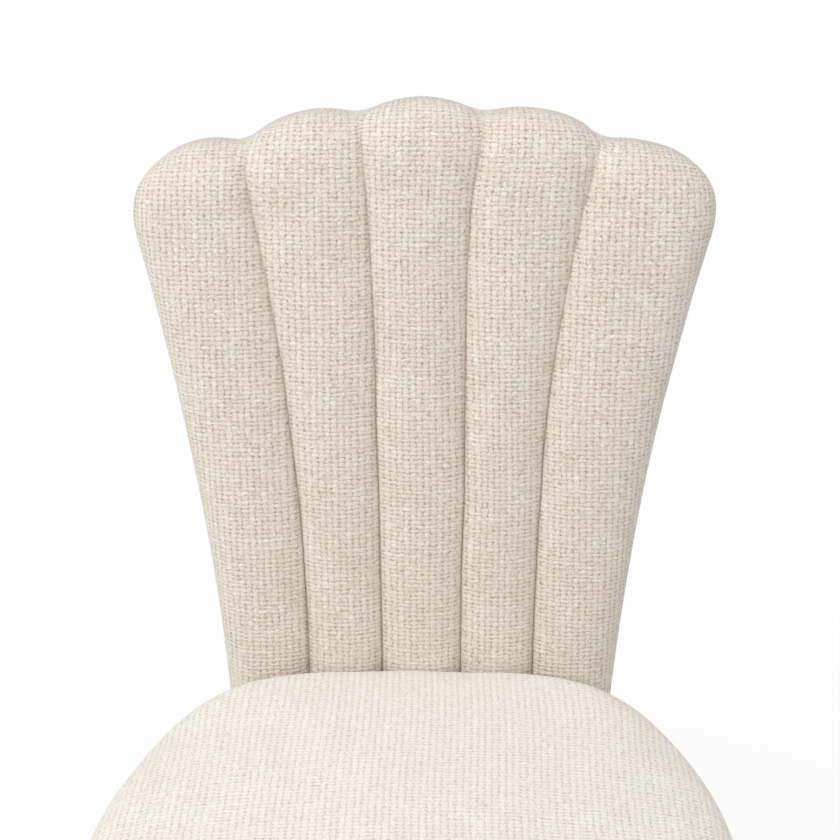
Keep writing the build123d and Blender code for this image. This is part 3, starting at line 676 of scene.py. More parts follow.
def basket_weave_group():
    """Yarns that pass over and under each other: height, gaps that carry painted shade between the yarns,
    slubs and fuzz, on a cloth map in metres.
    """
    name = "Basket weave"
    if name in bpy.data.node_groups:
        return bpy.data.node_groups[name]
    inputs = {"Rib pitch": 0.0052, "Row pitch": 0.0036, "Wander": 0.0007}
    group, given, result = new_group(name, inputs, ("Height", "Gap", "Slub", "Fuzz", "Drift"))
    source = given["Vector"]
    wander = put(group, "TexNoise", {"Vector": source, "Scale": 190.0, "Detail": 3.0, "Roughness": 0.62})
    centred = calc_vector(group, "SUBTRACT", wander.outputs["Color"], (0.5, 0.5, 0.5))[0]
    shift = calc_vector(group, "SCALE", centred, Scale=given["Wander"])[0]
    moved = calc_vector(group, "ADD", source, shift)[0]
    parts = put(group, "SeparateXYZ", {0: moved}).outputs
    rib = calc(group, "DIVIDE", parts["X"], given["Rib pitch"])
    row = calc(group, "DIVIDE", parts["Y"], given["Row pitch"])
    rib_number, row_number = [calc(group, "FLOOR", counted) for counted in (rib, row)]
    cell = put(group, "CombineXYZ", {0: rib_number, 1: row_number}).outputs[0]
    chance = put(group, "TexWhiteNoise", {"Vector": cell}, noise_dimensions="2D").outputs["Value"]
    tops = []
    for counted, own_number, other, swing, middle, chance_share, chance_least in (
        (rib, rib_number, row, 0.36, 0.56, 0.6, 0.68),
        (row, row_number, rib, -0.36, 0.58, -0.36, 1.14),
    ):
        off = calc(group, "SUBTRACT", calc(group, "FRACT", counted), 0.5)
        roundness = calc(group, "COSINE", calc(group, "MULTIPLY", off, YARN_ARC))
        phase = calc(group, "ADD", calc(group, "SUBTRACT", other, 0.5), own_number)
        wave = calc(group, "COSINE", calc(group, "MULTIPLY", phase, math.pi))
        lift = calc(group, "MULTIPLY_ADD", wave, swing, middle)
        lift = calc(group, "MULTIPLY", lift, calc(group, "MULTIPLY_ADD", chance, chance_share, chance_least))
        tops.append(calc(group, "MULTIPLY", roundness, lift))
    rib_top, row_top = tops
    crossing = calc(group, "SMOOTH_MAX", rib_top, row_top, 0.12)
    strand = calc(group, "ABSOLUTE", calc(group, "SINE", calc(group, "MULTIPLY", rib, math.tau)))
    strands = calc(group, "MULTIPLY_ADD", strand, 0.08, crossing)
    fuzz = speckle(group, moved, 1250.0, roughness=0.75)
    rib_slub = speckle(group, moved, 1.0, roughness=0.65, size=(190, 26, 1))
    row_slub = speckle(group, moved, 1.0, roughness=0.65, size=(30, 270, 1))
    rib_share = span(group, calc(group, "SUBTRACT", rib_top, row_top), -0.1, 0.1)
    slub = put(group, "Mix", {0: rib_share, 2: row_slub, 3: rib_slub}).outputs[0]
    height = calc(group, "MULTIPLY_ADD", calc(group, "SUBTRACT", slub, 0.5), 0.5, strands)
    height = calc(group, "MULTIPLY_ADD", calc(group, "SUBTRACT", fuzz, 0.5), 0.75, height)
    group.links.new(height, result["Height"])
    # Painted shade: how deep a place lies between the yarns, where shade falls
    depth = span(group, height, 0.66, 0.2)
    chosen = span(group, speckle(group, source, 330.0, detail=1.0), 0.36, 0.6, 0.35, 1.0)
    group.links.new(calc(group, "MULTIPLY", depth, chosen), result["Gap"])
    group.links.new(span(group, slub, 0.5, 0.72), result["Slub"])
    group.links.new(fuzz, result["Fuzz"])
    group.links.new(speckle(group, source, 22.0, detail=3.0, roughness=0.6), result["Drift"])
    return group


def grain_group():
    """Straight wood grain along a vector's Z, with pores: tone and height."""
    name = "Straight grain"
    if name in bpy.data.node_groups:
        return bpy.data.node_groups[name]
    group, given, result = new_group(name, {"Fineness": 1.0}, ("Tone", "Height"))
    sized = calc_vector(group, "SCALE", given["Vector"], Scale=given["Fineness"])[0]
    bands = speckle(group, sized, 1.0, detail=4.0, roughness=0.55, size=(85, 85, 5))
    lines = speckle(group, sized, 1.0, detail=3.0, roughness=0.6, size=(520, 520, 14))
    pores = speckle(group, sized, 1.0, detail=1.0, size=(1500, 1500, 60))
    rings = calc(group, "SINE", calc(group, "MULTIPLY", bands, 26.0))
    tone = calc(group, "MULTIPLY_ADD", rings, 0.16, calc(group, "MULTIPLY_ADD", lines, 0.5, 0.25))
    pore = span(group, pores, 0.62, 0.74)
    group.links.new(calc(group, "SUBTRACT", tone, calc(group, "MULTIPLY", pore, 0.25)), result["Tone"])
    group.links.new(calc(group, "SUBTRACT", calc(group, "MULTIPLY", lines, 0.3), pore), result["Height"])
    return group


def empty_tree(owner):
    """The node tree of a material or world, with nothing in it."""
    owner.use_nodes = True
    owner.node_tree.nodes.clear()
    return owner.node_tree


def start_material(name, roughness, metallic=0.0, sheen=0.0, coat=0.0):
    """A material with only its shader, and its constant gloss settings on the shader's own sockets."""
    material = bpy.data.materials.new(name)
    tree = empty_tree(material)
    shader = put(tree, "BsdfPrincipled", {"Roughness": roughness, "Metallic": metallic})
    shader.inputs["Sheen Weight"].default_value = sheen
    shader.inputs["Sheen Roughness"].default_value = 0.55
    shader.inputs["Coat Weight"].default_value = coat
    shader.inputs["Coat Roughness"].default_value = 0.25
    put(tree, "OutputMaterial", {"Surface": shader.outputs[0]})
    return material, tree, shader


def add_bump(tree, shader, height, distance, strength=1.0):
    """A bump of a real height on a shader."""
    bump = put(tree, "Bump", {"Height": height, "Distance": distance, "Strength": strength})
    tree.links.new(bump.outputs[0], shader.inputs["Normal"])


def colour(values):
    """A colour property as the four numbers of a socket."""
    return (*tuple(values)[:3], 1.0)


def chenille(name="ivory_chenille", depth=1.0, lit_paleness=0.0):
    """Ivory basket-weave chenille with pale slubs and a soft pile, its gaps and seams darkened with painted
    shade; the seat's copy is painted as lit from above, flatter, with less painted shade and paler yarn.
    """
    if name in bpy.data.materials:
        return bpy.data.materials[name]
    cloth = bpy.context.scene.vanity_fabric
    material, tree, shader = start_material(name, 0.92, sheen=cloth.sheen)
    place = put(tree, "UVMap", uv_map="cloth").outputs[0]
    weave = put(tree, "Group", node_tree=basket_weave_group())
    pitches = {"Rib pitch": cloth.rib_pitch, "Row pitch": cloth.row_pitch}
    set_inputs(tree, weave, {"Vector": place, "Wander": cloth.wander, **pitches})
    made = weave.outputs
    drift = span(tree, made["Drift"], 0.3, 0.7)
    yarn = blend_colours(tree, drift, colour(cloth.yarn), colour(cloth.yarn_shade))
    # Pale slubs, and on the seat's copy paler yarn all over: painted light, as lit from above
    pale = calc(tree, "MULTIPLY_ADD", made["Slub"], 0.7 * (1 - lit_paleness), lit_paleness)
    yarn = blend_colours(tree, pale, yarn, colour(cloth.slub))
    # Painted shade in the gaps between the yarns, less of it on the seat's copy
    yarn = blend_colours(tree, calc(tree, "MULTIPLY", made["Gap"], depth), yarn, colour(cloth.gap))
    # Painted shade along the seams, from the crease attribute, broken up by the fuzz and the gaps
    sewn = put(tree, "Attribute", attribute_name="crease").outputs["Fac"]
    broken_seam_shade = calc(tree, "MULTIPLY_ADD", calc(tree, "SUBTRACT", made["Fuzz"], 0.5), 2.2, sewn)
    broken_seam_shade = calc(tree, "MULTIPLY_ADD", made["Gap"], 0.3, broken_seam_shade)
    broken_seam_shade = calc(tree, "MULTIPLY", span(tree, broken_seam_shade, 0.3, 1.0), calc(tree, "POWER", sewn, 0.6))
    yarn = blend_colours(tree, broken_seam_shade, yarn, colour(cloth.crease))
    tone = span(tree, made["Fuzz"], 0.25, 0.75, 1 - 0.31 * depth, 1 + 0.31 * depth)
    tree.links.new(toned(tree, yarn, tone), shader.inputs["Base Color"])
    add_bump(tree, shader, made["Height"], cloth.yarn_height * depth)
    return material


def solid_finish(name, base, roughness, metallic=0.0, grit=0.06, grit_scale=700.0, bump=0.00004, coat=0.0):
    """A plain coated, cast or plated finish with faint unevenness in tone, gloss and surface."""
    if name in bpy.data.materials:
        return bpy.data.materials[name]
    material, tree, shader = start_material(name, roughness, metallic, coat=coat)
    place = put(tree, "TexCoord").outputs["Object"]
    fine = speckle(tree, place, grit_scale)
    wide = speckle(tree, place, 14.0, detail=3.0)
    tone = span(tree, wide, 0.3, 0.7, 1 - grit, 1 + grit)
    tree.links.new(toned(tree, colour(base), tone), shader.inputs["Base Color"])
    tree.links.new(span(tree, wide, 0.3, 0.7, roughness * 0.85, roughness * 1.15), shader.inputs["Roughness"])
    add_bump(tree, shader, fine, bump)
    return material


def wood_finish(name, dark, light, roughness, lean=(0, 0, 0), fineness=1.0, coat=0.0):
    """Wood whose grain runs along Z, leaned by three angles."""
    if name in bpy.data.materials:
        return bpy.data.materials[name]
    material, tree, shader = start_material(name, roughness, coat=coat)
    place = put(tree, "TexCoord").outputs["Object"]
    turned = put(tree, "Mapping", {"Vector": place, "Rotation": lean}).outputs[0]
    grain = put(tree, "Group", node_tree=grain_group())
    set_inputs(tree, grain, {"Vector": turned, "Fineness": fineness})
    mixed = blend_colours(tree, span(tree, grain.outputs["Tone"], 0.25, 0.75), colour(dark), colour(light))
    tree.links.new(mixed, shader.inputs["Base Color"])
    add_bump(tree, shader, grain.outputs["Height"], 0.00015, 0.5)
    return material


# What a user may change


def amount(name, text, value, low, high, unit="NONE", precision=4):
    """A number property."""
    return bpy.props.FloatProperty(
        name=name, description=text, default=value, min=low, max=high, unit=unit, precision=precision
    )


def metres(name, text, value, low=0.0, high=5.0):
    """A length property, in metres."""
    return amount(name, text, value, low, high, "LENGTH")


def tint(name, text, value):
    """A colour property."""
    return bpy.props.FloatVectorProperty(
        name=name, description=text, default=value, min=0.0, max=1.0, size=3, subtype="COLOR"
    )


class VanityFabric(bpy.types.PropertyGroup):
    """The chenille's yarns."""

    yarn: tint("Yarn", "Lit side of the yarn", (0.90, 0.825, 0.73))
    yarn_shade: tint("Yarn shade", "Yarn where the dye is a little deeper", (0.84, 0.765, 0.665))
    slub: tint("Slub", "Pale thick stretches of yarn", (0.96, 0.93, 0.88))
    # Painted shade: the colour in the hollows between the yarns
    gap: tint("Gap", "Between the yarns", (0.46, 0.37, 0.28))
    # Painted shade: the colour of the dark line in each seam crease and of the band beside it
    crease: tint("Crease", "In the sewn creases", (0.36, 0.28, 0.20))
    rib_pitch: metres("Rib pitch", "Distance between the upright yarn pairs", 0.0052, 0.001, 0.02)
    row_pitch: metres("Row pitch", "Distance between the crossing yarns", 0.0036, 0.001, 0.02)
    wander: metres("Wander", "How far the yarns stray", 0.0044, 0.0, 0.02)
    yarn_height: metres("Yarn height", "Relief of the weave", 0.00096, 0.0, 0.004)
    sheen: amount("Sheen", "Soft light at the pile's edges", 0.32, 0.0, 1.0)


class VanityBack(bpy.types.PropertyGroup):
    """The padded back, in millimetres on its slope."""

    relief: amount("Relief", "How far the channels stand above their seams", 10.0, 0.0, 25.0)
    fullness: amount("Fullness", "How flat the channels' crowns are", 4.6, 1.5, 8.0)
    side_roll: amount("Side roll", "Width of the rolled side edges", 27.0, 5.0, 60.0)
    top_roll: amount("Top roll", "Width of the rolled lobes", 36.0, 5.0, 60.0)
    foot_roll: amount("Foot roll", "Width of the rolled foot", 20.0, 5.0, 60.0)
    crease: amount("Crease", "Depth of the sewn crease below the seams", 1.05, 0.0, 10.0)
    crease_width: amount("Crease width", "Half width of the sewn crease", 0.9, 0.3, 6.0)


class VanitySeat(bpy.types.PropertyGroup):
    """The padded seat."""

    unevenness: metres("Unevenness", "Soft lumps of the padding", 0.0009, 0.0, 0.01)
    corner_fill: metres("Corner fill", "How far the rear corners stand out of the round", 0.0065, 0.0, 0.02)
    rear_blend: metres("Rear blend", "Softness of the corner at the flat rear", 0.009, 0.001, 0.04)


class VanityWood(bpy.types.PropertyGroup):
    """The turned legs and the base board."""

    dark: tint("Dark grain", "Darker part of the stained wood", (0.085, 0.042, 0.020))
    light: tint("Light grain", "Lighter part of the stained wood", (0.235, 0.130, 0.066))


class VanityStage(bpy.types.PropertyGroup):
    """Camera and light."""

    lens: amount("Lens", "Focal length on a 36 mm sensor", 72.86, 10.0, 300.0, precision=2)
    camera_back: metres("Camera back", "Distance of the camera in front of the origin", 0.9569, 0.1, 10.0)
    camera_side: amount("Camera side", "Camera to the right of the origin, in metres", 0.0031, -2.0, 2.0)
    camera_height: metres("Camera height", "Height of the camera", 1.3094, 0.1, 10.0)
    tilt: amount("Tilt", "Degrees below level", 30.01, -10.0, 90.0)
    yaw: amount("Yaw", "Degrees to the right", -0.16, -30.0, 30.0)
    roll: amount("Roll", "Degrees of turn about the view", 0.18, -20.0, 20.0)
    sky: amount("Sky", "Even light from all round", 0.44, 0.0, 5.0)
    key: amount("Key", "Soft light from the upper left, in watts", 37.5, 0.0, 500.0)
    fill: amount("Fill", "Soft light from the right, in watts", 8.0, 0.0, 500.0)
    side: amount("Side", "Soft light from the left, in watts", 5.5, 0.0, 500.0)
    top: amount("Top", "Soft light from above, in watts", 26.0, 0.0, 500.0)


# The padded back


def with_band(grid, out, cloth, outward):
    """Points, cloth map and faces of the front with rings behind its edge that draw in over the panel."""
    rows, columns = grid.shape[:2]
    ring = perimeter(rows, columns)
    edge, edge_outward, edge_cloth = [values.reshape(-1, 2)[ring] for values in (grid, outward, cloth)]
    vertices = [slope_points(grid[..., 0], grid[..., 1], out).reshape(-1, 3)]
    maps = [cloth.reshape(-1, 2)]
    for number, depth in enumerate(BAND_DEPTHS, start=1):
        places = edge - edge_outward * (BAND_PINCH * number / len(BAND_DEPTHS))
        vertices.append(slope_points(places[:, 0], places[:, 1], EDGE_DEPTH + depth))
        maps.append(edge_cloth - edge_outward * depth)
    faces = [grid_faces(rows, columns), *ring_faces(ring, rows * columns, len(BAND_DEPTHS))]
    return [np.concatenate(parts) for parts in (vertices, maps, faces)]


def sew_creases(piece, shape):
    """Draws the cover into its four seams with small puckers, and keeps a mask of painted shade: a dark line
    in each crease and a softer band just left of it.
    """
    places = vertex_places(piece)
    across, up, out = on_slope(places)
    front = smooth_step(*FRONT_ZONE, out)
    sewn = np.zeros(len(places))
    for seam, notch, seed in ((INNER_SEAM, INNER_NOTCH_HEIGHT, 11.0), (OUTER_SEAM, OUTER_NOTCH_HEIGHT, 23.0)):
        fade = 1 - 0.4 * smooth_step(notch - 260, notch - 60, up)
        fade = fade - 0.3 * smooth_step(notch - 70, notch - 10, up)
        for side in (-1, 1):
            wander = 0.5 * lumps(up, 0 * up, 60, seed + side) + 0.4 * lumps(up, 0 * up, 5.5, seed * 5 + side)
            gap = across - side * (seam_distance(seam, up) + wander * smooth_step(0, 30, up))
            pucker = 0.5 + 0.5 * lumps(up, 0 * up, 6.5, seed * 3 + side)
            drawn = shape.crease * bell(gap, shape.crease_width) + 1.1 * pucker * bell(gap, 5.0)
            # Painted shade: a dark line in the crease, and a softer band just left of the seam, on the side
            # turned away from the key lamp
            line, shade = 0.72 * bell(gap, 1.25), 0.4 * bell(gap, 3.4, -1.2)
            sewn = np.maximum(sewn, np.maximum(line, shade) * front * fade)
            out = out - front * fade * drawn
    set_places(piece, slope_points(across + seam_stray(across, up), up, out))
    # The crease attribute holds this painted shade mask for the cloth's colour
    layer = piece.data.attributes.new("crease", "FLOAT", "POINT")
    layer.data.foreach_set("value", sewn.astype(np.float32))


def turn_in(places):
    """Takes the rear edge in by the cover's thickness."""
    across, up, out = on_slope(places)
    flat = np.stack((across, up), axis=1)
    flat = flat - edge_distance(flat)[1] * TURN_IN
    return slope_points(flat[:, 0], flat[:, 1], out)


def reach_panel(places):
    """Takes the turned edge forward to just in front of the panel."""
    across, up, out = on_slope(places)
    return slope_points(across, up, np.full_like(out, PANEL_GAP))


class VANITY_OT_back_upholstery(bpy.types.Operator):
    """Make the channelled front of the back"""

    bl_idname = "vanity.back_upholstery"
    bl_label = "Back upholstery"

    def execute(self, context):
        shape = context.scene.vanity_back
        grid, seams = back_grid(shape.side_roll, shape.top_roll, shape.foot_roll)
        rows, columns = grid.shape[:2]
        across, up = grid[..., 0], grid[..., 1]
        away, outward = edge_distance(grid)
        gap = seam_gap(across, up)
        inward = 1 - np.clip(away / roll_width(across, up, shape), 0, 1)
        out = front_depth(across, up, gap, inward, shape)
        grid = np.stack(hand_sewn(across, up), axis=-1)
        # The cloth map runs on over the rolled edges by the length that the roll takes up
        cloth = grid + outward * roll_run(inward, shape.top_roll)[..., None]
        vertices, maps, faces = with_band(grid, out, cloth, outward)
        corner_map = maps[faces].reshape(-1, 2) * MM
        panels = np.searchsorted(seams, np.arange(columns - 1), side="right")
        shifts = np.zeros(len(faces))
        shifts[: (rows - 1) * (columns - 1)] = np.tile(panels, rows - 1)
        corner_map += np.repeat(shifts, 4)[:, None] * PANEL_SHIFT

        piece = new_piece("back_upholstery", vertices, faces, corner_map)
        pinned = np.ones(len(vertices), bool)
        pinned[: rows * columns] = ((away < PINNED_EDGE) | (gap < PINNED_SEAM)).ravel()
        swell(piece, pinned, pressure=2.2, limit=2.2 * MM)
        subdivide(piece)
        sew_creases(piece, shape)
        close_rear(piece, (turn_in, reach_panel))
        dress(piece, "seat", chenille())
        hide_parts("back_cover", *[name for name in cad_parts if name.startswith("back_foam")])
        return {"FINISHED"}


class VANITY_OT_back_outside(bpy.types.Operator):
    """Make the plain padded outside of the back"""

    bl_idname = "vanity.back_outside"
    bl_label = "Outside back"

    def execute(self, context):
        grid = back_grid(9, 9, 9, fine=False)[0]
        away, outward = edge_distance(grid)
        rim = (away < 0.5).astype(float)
        grid = grid - outward * rim[..., None]
        across, up = hand_sewn(grid[..., 0], grid[..., 1])
        inward = 1 - np.clip(away / REAR_ROLL, 0, 1)
        out = -PANEL - 0.25 - (REAR_BUILD - PANEL - 0.9) * rolled(inward)
        out -= (0.6 + 0.5 * lumps(across, up, 70, 5.0)) * smooth_step(10, 90, away)
        vertices = slope_points(across, up, out).reshape(-1, 3)
        faces = grid_faces(*grid.shape[:2])[:, ::-1]
        cloth = grid + outward * (inward * 5)[..., None]
        corner_map = cloth.reshape(-1, 2)[faces].reshape(-1, 2) * (-MM, MM)
        piece = new_piece("back_outside", vertices, faces, corner_map)
        swell(piece, (away < 12).ravel(), pressure=1.0, limit=1.0 * MM)
        subdivide(piece)
        shell = piece.modifiers.new("Shell", "SOLIDIFY")
        shell.thickness = REAR_SHELL * MM
        shell.offset = -1.0
        apply_modifiers(piece)
        dress(piece, "seat", chenille())
        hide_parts("back_rear_cover", "back_wadding")
        return {"FINISHED"}


# The seat


def rear_limit(level, gap=0.0):
    """How far behind the seat's centre its leaning flat rear stands, at a height."""
    return SEAT_REAR + (level - RIM_HEIGHT) * math.tan(LEAN) - gap / math.cos(LEAN)


def crown_height(radii):
    """Height of the crown at a distance from the seat's middle."""
    return RIM_HEIGHT + SEAT_RISE - CROWN_RADIUS + np.sqrt(CROWN_RADIUS**2 - radii**2)


def seat_profile():
    """Distance from the middle, height, and run of cloth, from inside the crown down to the tucked hem."""
    tilt = math.asin(ROLL_CENTRE / (CROWN_RADIUS - EDGE_ROLL))
    radii = np.linspace(DISC_RADIUS, CROWN_RADIUS * math.sin(tilt), 17)
    angles = np.linspace(math.pi / 2 - tilt, 0, 10)[1:]
    foot = SEAT_LOW.z
    side_radius = ((RIM_HEIGHT - foot) ** 2 + SIDE_DRAW**2) / (2 * SIDE_DRAW)
    levels = np.linspace(RIM_HEIGHT, foot + 4 * MM, 11)[1:]
    sides = SEAT_RADIUS - side_radius + np.sqrt(side_radius**2 - (RIM_HEIGHT - levels) ** 2)
    hem = [(sides[-1] - inset * MM, foot + lift * MM) for inset, lift in HEM]
    parts = (
        np.column_stack((radii, crown_height(radii))),
        np.column_stack((ROLL_CENTRE + EDGE_ROLL * np.cos(angles), RIM_HEIGHT + EDGE_ROLL * np.sin(angles))),
        np.column_stack((sides, levels)),
        np.array((*hem, (FRAME_RADIUS - COVER_TUCK, foot))),
    )
    points = np.concatenate(parts)
    steps = np.hypot(*np.diff(points, axis=0).T)
    run = np.concatenate(((DISC_RADIUS,), DISC_RADIUS + np.cumsum(steps)))
    return points[:, 0], points[:, 1], run


def pressed_disc(count):
    """A square grid pressed into a unit disc, and its edge anticlockwise."""
    steps = np.linspace(-1, 1, count + 1)
    across, along_y = np.meshgrid(steps, steps)
    round_x = across * np.sqrt(1 - along_y**2 / 2)
    round_y = along_y * np.sqrt(1 - across**2 / 2)
    grid = np.stack((round_x, round_y), axis=-1).reshape(-1, 2)
    return grid, grid[perimeter(count + 1, count + 1)]


def square_corners(places, fill):
    """Fills out the two corners at the rear, where the cover is pulled straight."""
    turn = np.degrees(np.arctan2(places[:, 1], abs(places[:, 0])))
    reach = np.hypot(places[:, 0], places[:, 1])
    left = LEFT_FILL * bell(turn, 16, 40) * (places[:, 0] < 0)
    grow = (fill * bell(turn, 13, 46) + left) * (reach / SEAT_RADIUS) ** 3
    filled = places.copy()
    filled[:, :2] *= (1 + grow / np.maximum(reach, 1e-6))[:, None]
    return filled


def flatten_rear(places, blend):
    """Presses the seat's rear onto the leaning plane in front of the back, with soft corners."""
    limit = rear_limit(places[:, 2])
    past = (places[:, 1] - limit) / blend
    squeezed = places.copy()
    squeezed[:, 1] = np.where(past < -30, places[:, 1], limit - blend * np.logaddexp(0, -past))
    return squeezed


def level_rear(places):
    """Evens the crown along the flat rear, lower in the middle and fuller at the corners."""
    lift = np.interp(abs(places[:, 0]) / MM, REAR_PLACES, REAR_LIFTS) * MM
    lift *= smooth_step(*REAR_ZONE, places[:, 1])
    lift *= smooth_step(RIM_HEIGHT - 5 * MM, RIM_HEIGHT + 10 * MM, places[:, 2])
    return places + lift[:, None] * (0, 0, 1)


def settle(piece, unevenness):
    """Gives the seat the soft lumps of real padding."""
    places = vertex_places(piece)
    across, deep = places[:, 0] / MM, places[:, 1] / MM
    top = smooth_step(RIM_HEIGHT - 20 * MM, RIM_HEIGHT + 20 * MM, places[:, 2])
    places[:, 2] += unevenness * lumps(across, deep, 58, 8.0) * top
    side = 1 - top
    around = np.arctan2(deep - SEAT_CENTRE_Y / MM, across) * SIDE_RUN
    lift = 0.5 * MM * lumps(around, places[:, 2] / MM * 0.4, 24, 2.0) * side
    lift *= smooth_step(SEAT_LOW.z, SEAT_LOW.z + 15 * MM, places[:, 2])
    flat = places[:, :2] - (0, SEAT_CENTRE_Y)
    rear = smooth_step(0, 12 * MM, rear_limit(places[:, 2]) - flat[:, 1])
    places[:, :2] -= flat / np.maximum(np.hypot(*flat.T), 1e-6)[:, None] * (abs(lift) * rear)[:, None]
    set_places(piece, places)


def pad_foot(places):
    """Lifts the hem's edge onto the frame's underside."""
    raised = places.copy()
    raised[:, 2] = RAIL_LOW.z - 0.15 * MM
    return on_frame_outline(raised)


def pad_top(places):
    """Carries the inner wall up past the deck, so that the pad closes over it."""
    raised = places.copy()
    raised[:, 2] = DECK_HIGH.z + FRAME_PLAY
    return on_frame_outline(raised)


def on_frame_outline(places):
    """Sets points on the frame's outline at their own heights."""
    flat = places[:, :2] - (0, SEAT_CENTRE_Y)
    flat *= ((FRAME_RADIUS + FRAME_PLAY) / np.maximum(np.hypot(*flat.T), 1e-6))[:, None]
    limit = rear_limit(places[:, 2], 8.7 * MM)
    over = flat[:, 1] > limit
    flat[over, 0] *= np.clip(limit[over] / flat[over, 1], 0, 1) ** 0.5
    flat[:, 1] = np.minimum(flat[:, 1], limit)
    places[:, :2] = flat + (0, SEAT_CENTRE_Y)
    return places


class VANITY_OT_seat_upholstery(bpy.types.Operator):
    """Make the round crowned seat"""

    bl_idname = "vanity.seat_upholstery"
    bl_label = "Seat upholstery"

    def execute(self, context):
        shape = context.scene.vanity_seat
        reach, height, run = seat_profile()
        centre, ring = pressed_disc(40)
        start = reach[0]
        turns = np.arctan2(ring[:, 1], ring[:, 0])
        directions = np.column_stack((np.cos(turns), np.sin(turns)))
        places = [np.column_stack((centre * start, crown_height(np.hypot(*centre.T) * start)))]
        maps = [centre * start]
        for distance, level, length_run in zip(reach[1:], height[1:], run[1:]):
            places.append(np.column_stack((directions * distance, np.full(len(turns), level))))
            maps.append(directions * length_run)
        places, maps = np.concatenate(places), np.concatenate(maps)
        side_count = math.isqrt(len(centre))
        disc_edge = perimeter(side_count, side_count)
        faces = [grid_faces(side_count, side_count), *ring_faces(disc_edge, len(centre), len(reach) - 1)]
        faces = np.concatenate(faces)
        places = square_corners(places, shape.corner_fill)
        places = flatten_rear(places, shape.rear_blend)
        places = level_rear(places)
        places[:, 0] -= SEAT_SHIFT * (1 - smooth_step(*SHIFT_ZONE, places[:, 1]))
        middle = (0, SEAT_CENTRE_Y, 0)
        piece = new_piece("seat_upholstery", places + middle, faces, maps[faces].reshape(-1, 2))
        level = places[:, 2]
        rear = rear_limit(level) - places[:, 1]
        held = (level < RIM_HEIGHT - 12 * MM) | (rear < 6 * MM)
        swell(piece, held, pressure=1.6, limit=2.5 * MM)
        subdivide(piece)
        settle(piece, shape.unevenness)
        close_rear(piece, (pad_foot, pad_top))
        dress(piece, "seat", chenille(**SEAT_CLOTH))
        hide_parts("seat_cover", "seat_wadding", "seat_foam")
        return {"FINISHED"}


# Under the seat, the finishes and the stage


class VANITY_OT_dust_cloth(bpy.types.Operator):
    """Make the black cloth under the seat"""

    bl_idname = "vanity.dust_cloth"
    bl_label = "Dust cloth"

    def execute(self, context):
        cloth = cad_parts["dust_cover"]
        build = bmesh.new()
        build.from_mesh(cloth.data)
        bmesh.ops.remove_doubles(build, verts=build.verts, dist=0.00001)
        for _ in range(4):
            long_edges = [edge for edge in build.edges if edge.calc_length() > DUST_EDGE]
            bmesh.ops.subdivide_edges(build, edges=long_edges, cuts=1, use_grid_fill=False)
            bmesh.ops.triangulate(build, faces=[face for face in build.faces if len(face.verts) > 3])
        low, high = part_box("dust_cover")
        radius = (high.x - low.x) / 2
        for corner in build.verts:
            across, deep = corner.co.x, corner.co.y - SEAT_CENTRE_Y
            out = math.hypot(across, deep) / radius
            slack = smooth_step(0.62, 0.8, out) * (1 - smooth_step(0.9, 1.0, out))
            ripple = noise.noise(Vector((across * 22, deep * 22, 4.0)))
            corner.co.z -= (0.7 + 0.6 * ripple) * DUST_SAG * slack
        mesh = bpy.data.meshes.new("dust_cloth")
        build.to_mesh(mesh)
        one_side = sum(face.calc_area() for face in build.faces) / 2
        build.free()
        mesh.shade_flat()
        piece = add_object("dust_cloth", mesh)
        black = solid_finish("black_nonwoven", (0.018, 0.018, 0.02), 0.95, grit_scale=1500, bump=0.0003)
        dress(piece, "seat", black)
        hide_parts("dust_cover")
        return {"FINISHED"}


def cover_node(name, finish):
    """Puts one finish on a node."""
    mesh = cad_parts[name].data
    mesh.materials.clear()
    mesh.materials.append(finish)


class VANITY_OT_finishes(bpy.types.Operator):
    """Give every rigid node its finish"""

    bl_idname = "vanity.finishes"
    bl_label = "Wood and metal finishes"

    def execute(self, context):
        wood = context.scene.vanity_wood
        splay = math.radians(LEG_SPLAY)
        for name, turn in LEG_TURNS.items():
            angle = math.radians(turn)
            reach = math.sin(splay)
            axis = Vector((math.cos(angle) * reach, math.sin(angle) * reach, -math.cos(splay)))
            lean = axis.rotation_difference(Vector((0, 0, -1))).to_euler()
            finish = wood_finish(f"stained_leg_{name}", wood.dark, wood.light, 0.34, tuple(lean), coat=0.25)
            cover_node(f"leg_{name}", finish)
        sideways = (0, math.pi / 2, 0)
        board = wood_finish("stained_board", wood.dark, wood.light, 0.38, sideways, 0.7, 0.2)
        sawn = wood_finish("sawn_hardwood", (0.40, 0.25, 0.13), (0.62, 0.44, 0.27), 0.75, sideways, 0.8)
        plain = wood_finish("pale_plywood", (0.46, 0.32, 0.19), (0.66, 0.50, 0.33), 0.7, sideways, 0.6)
        black = (0.022, 0.022, 0.024)
        steel = solid_finish("powdered_black", black, 0.42, grit=0.15, grit_scale=1600, bump=0.00006)
        zinc = solid_finish("bright_zinc", (0.58, 0.58, 0.57), 0.34, 1.0, grit=0.10, grit_scale=400)
        nylon = solid_finish("black_nylon", (0.03, 0.03, 0.032), 0.5, grit=0.1)
        fixings = ("leg_plate_screws", "bracket_screws", "back_bolts", "back_tee_nuts", "hanger_bolts")
        for finish, starts in (
            (board, "base_board"),
            (sawn, ("frame_rail", "cross_rail")),
            (plain, ("deck", "back_panel")),
            (steel, ("leg_plate_front", "leg_plate_rear", "back_bracket")),
            (zinc, ("swivel", *fixings)),
            (nylon, "glides"),
        ):
            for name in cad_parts:
                if name.startswith(starts):
                    cover_node(name, finish)
        return {"FINISHED"}


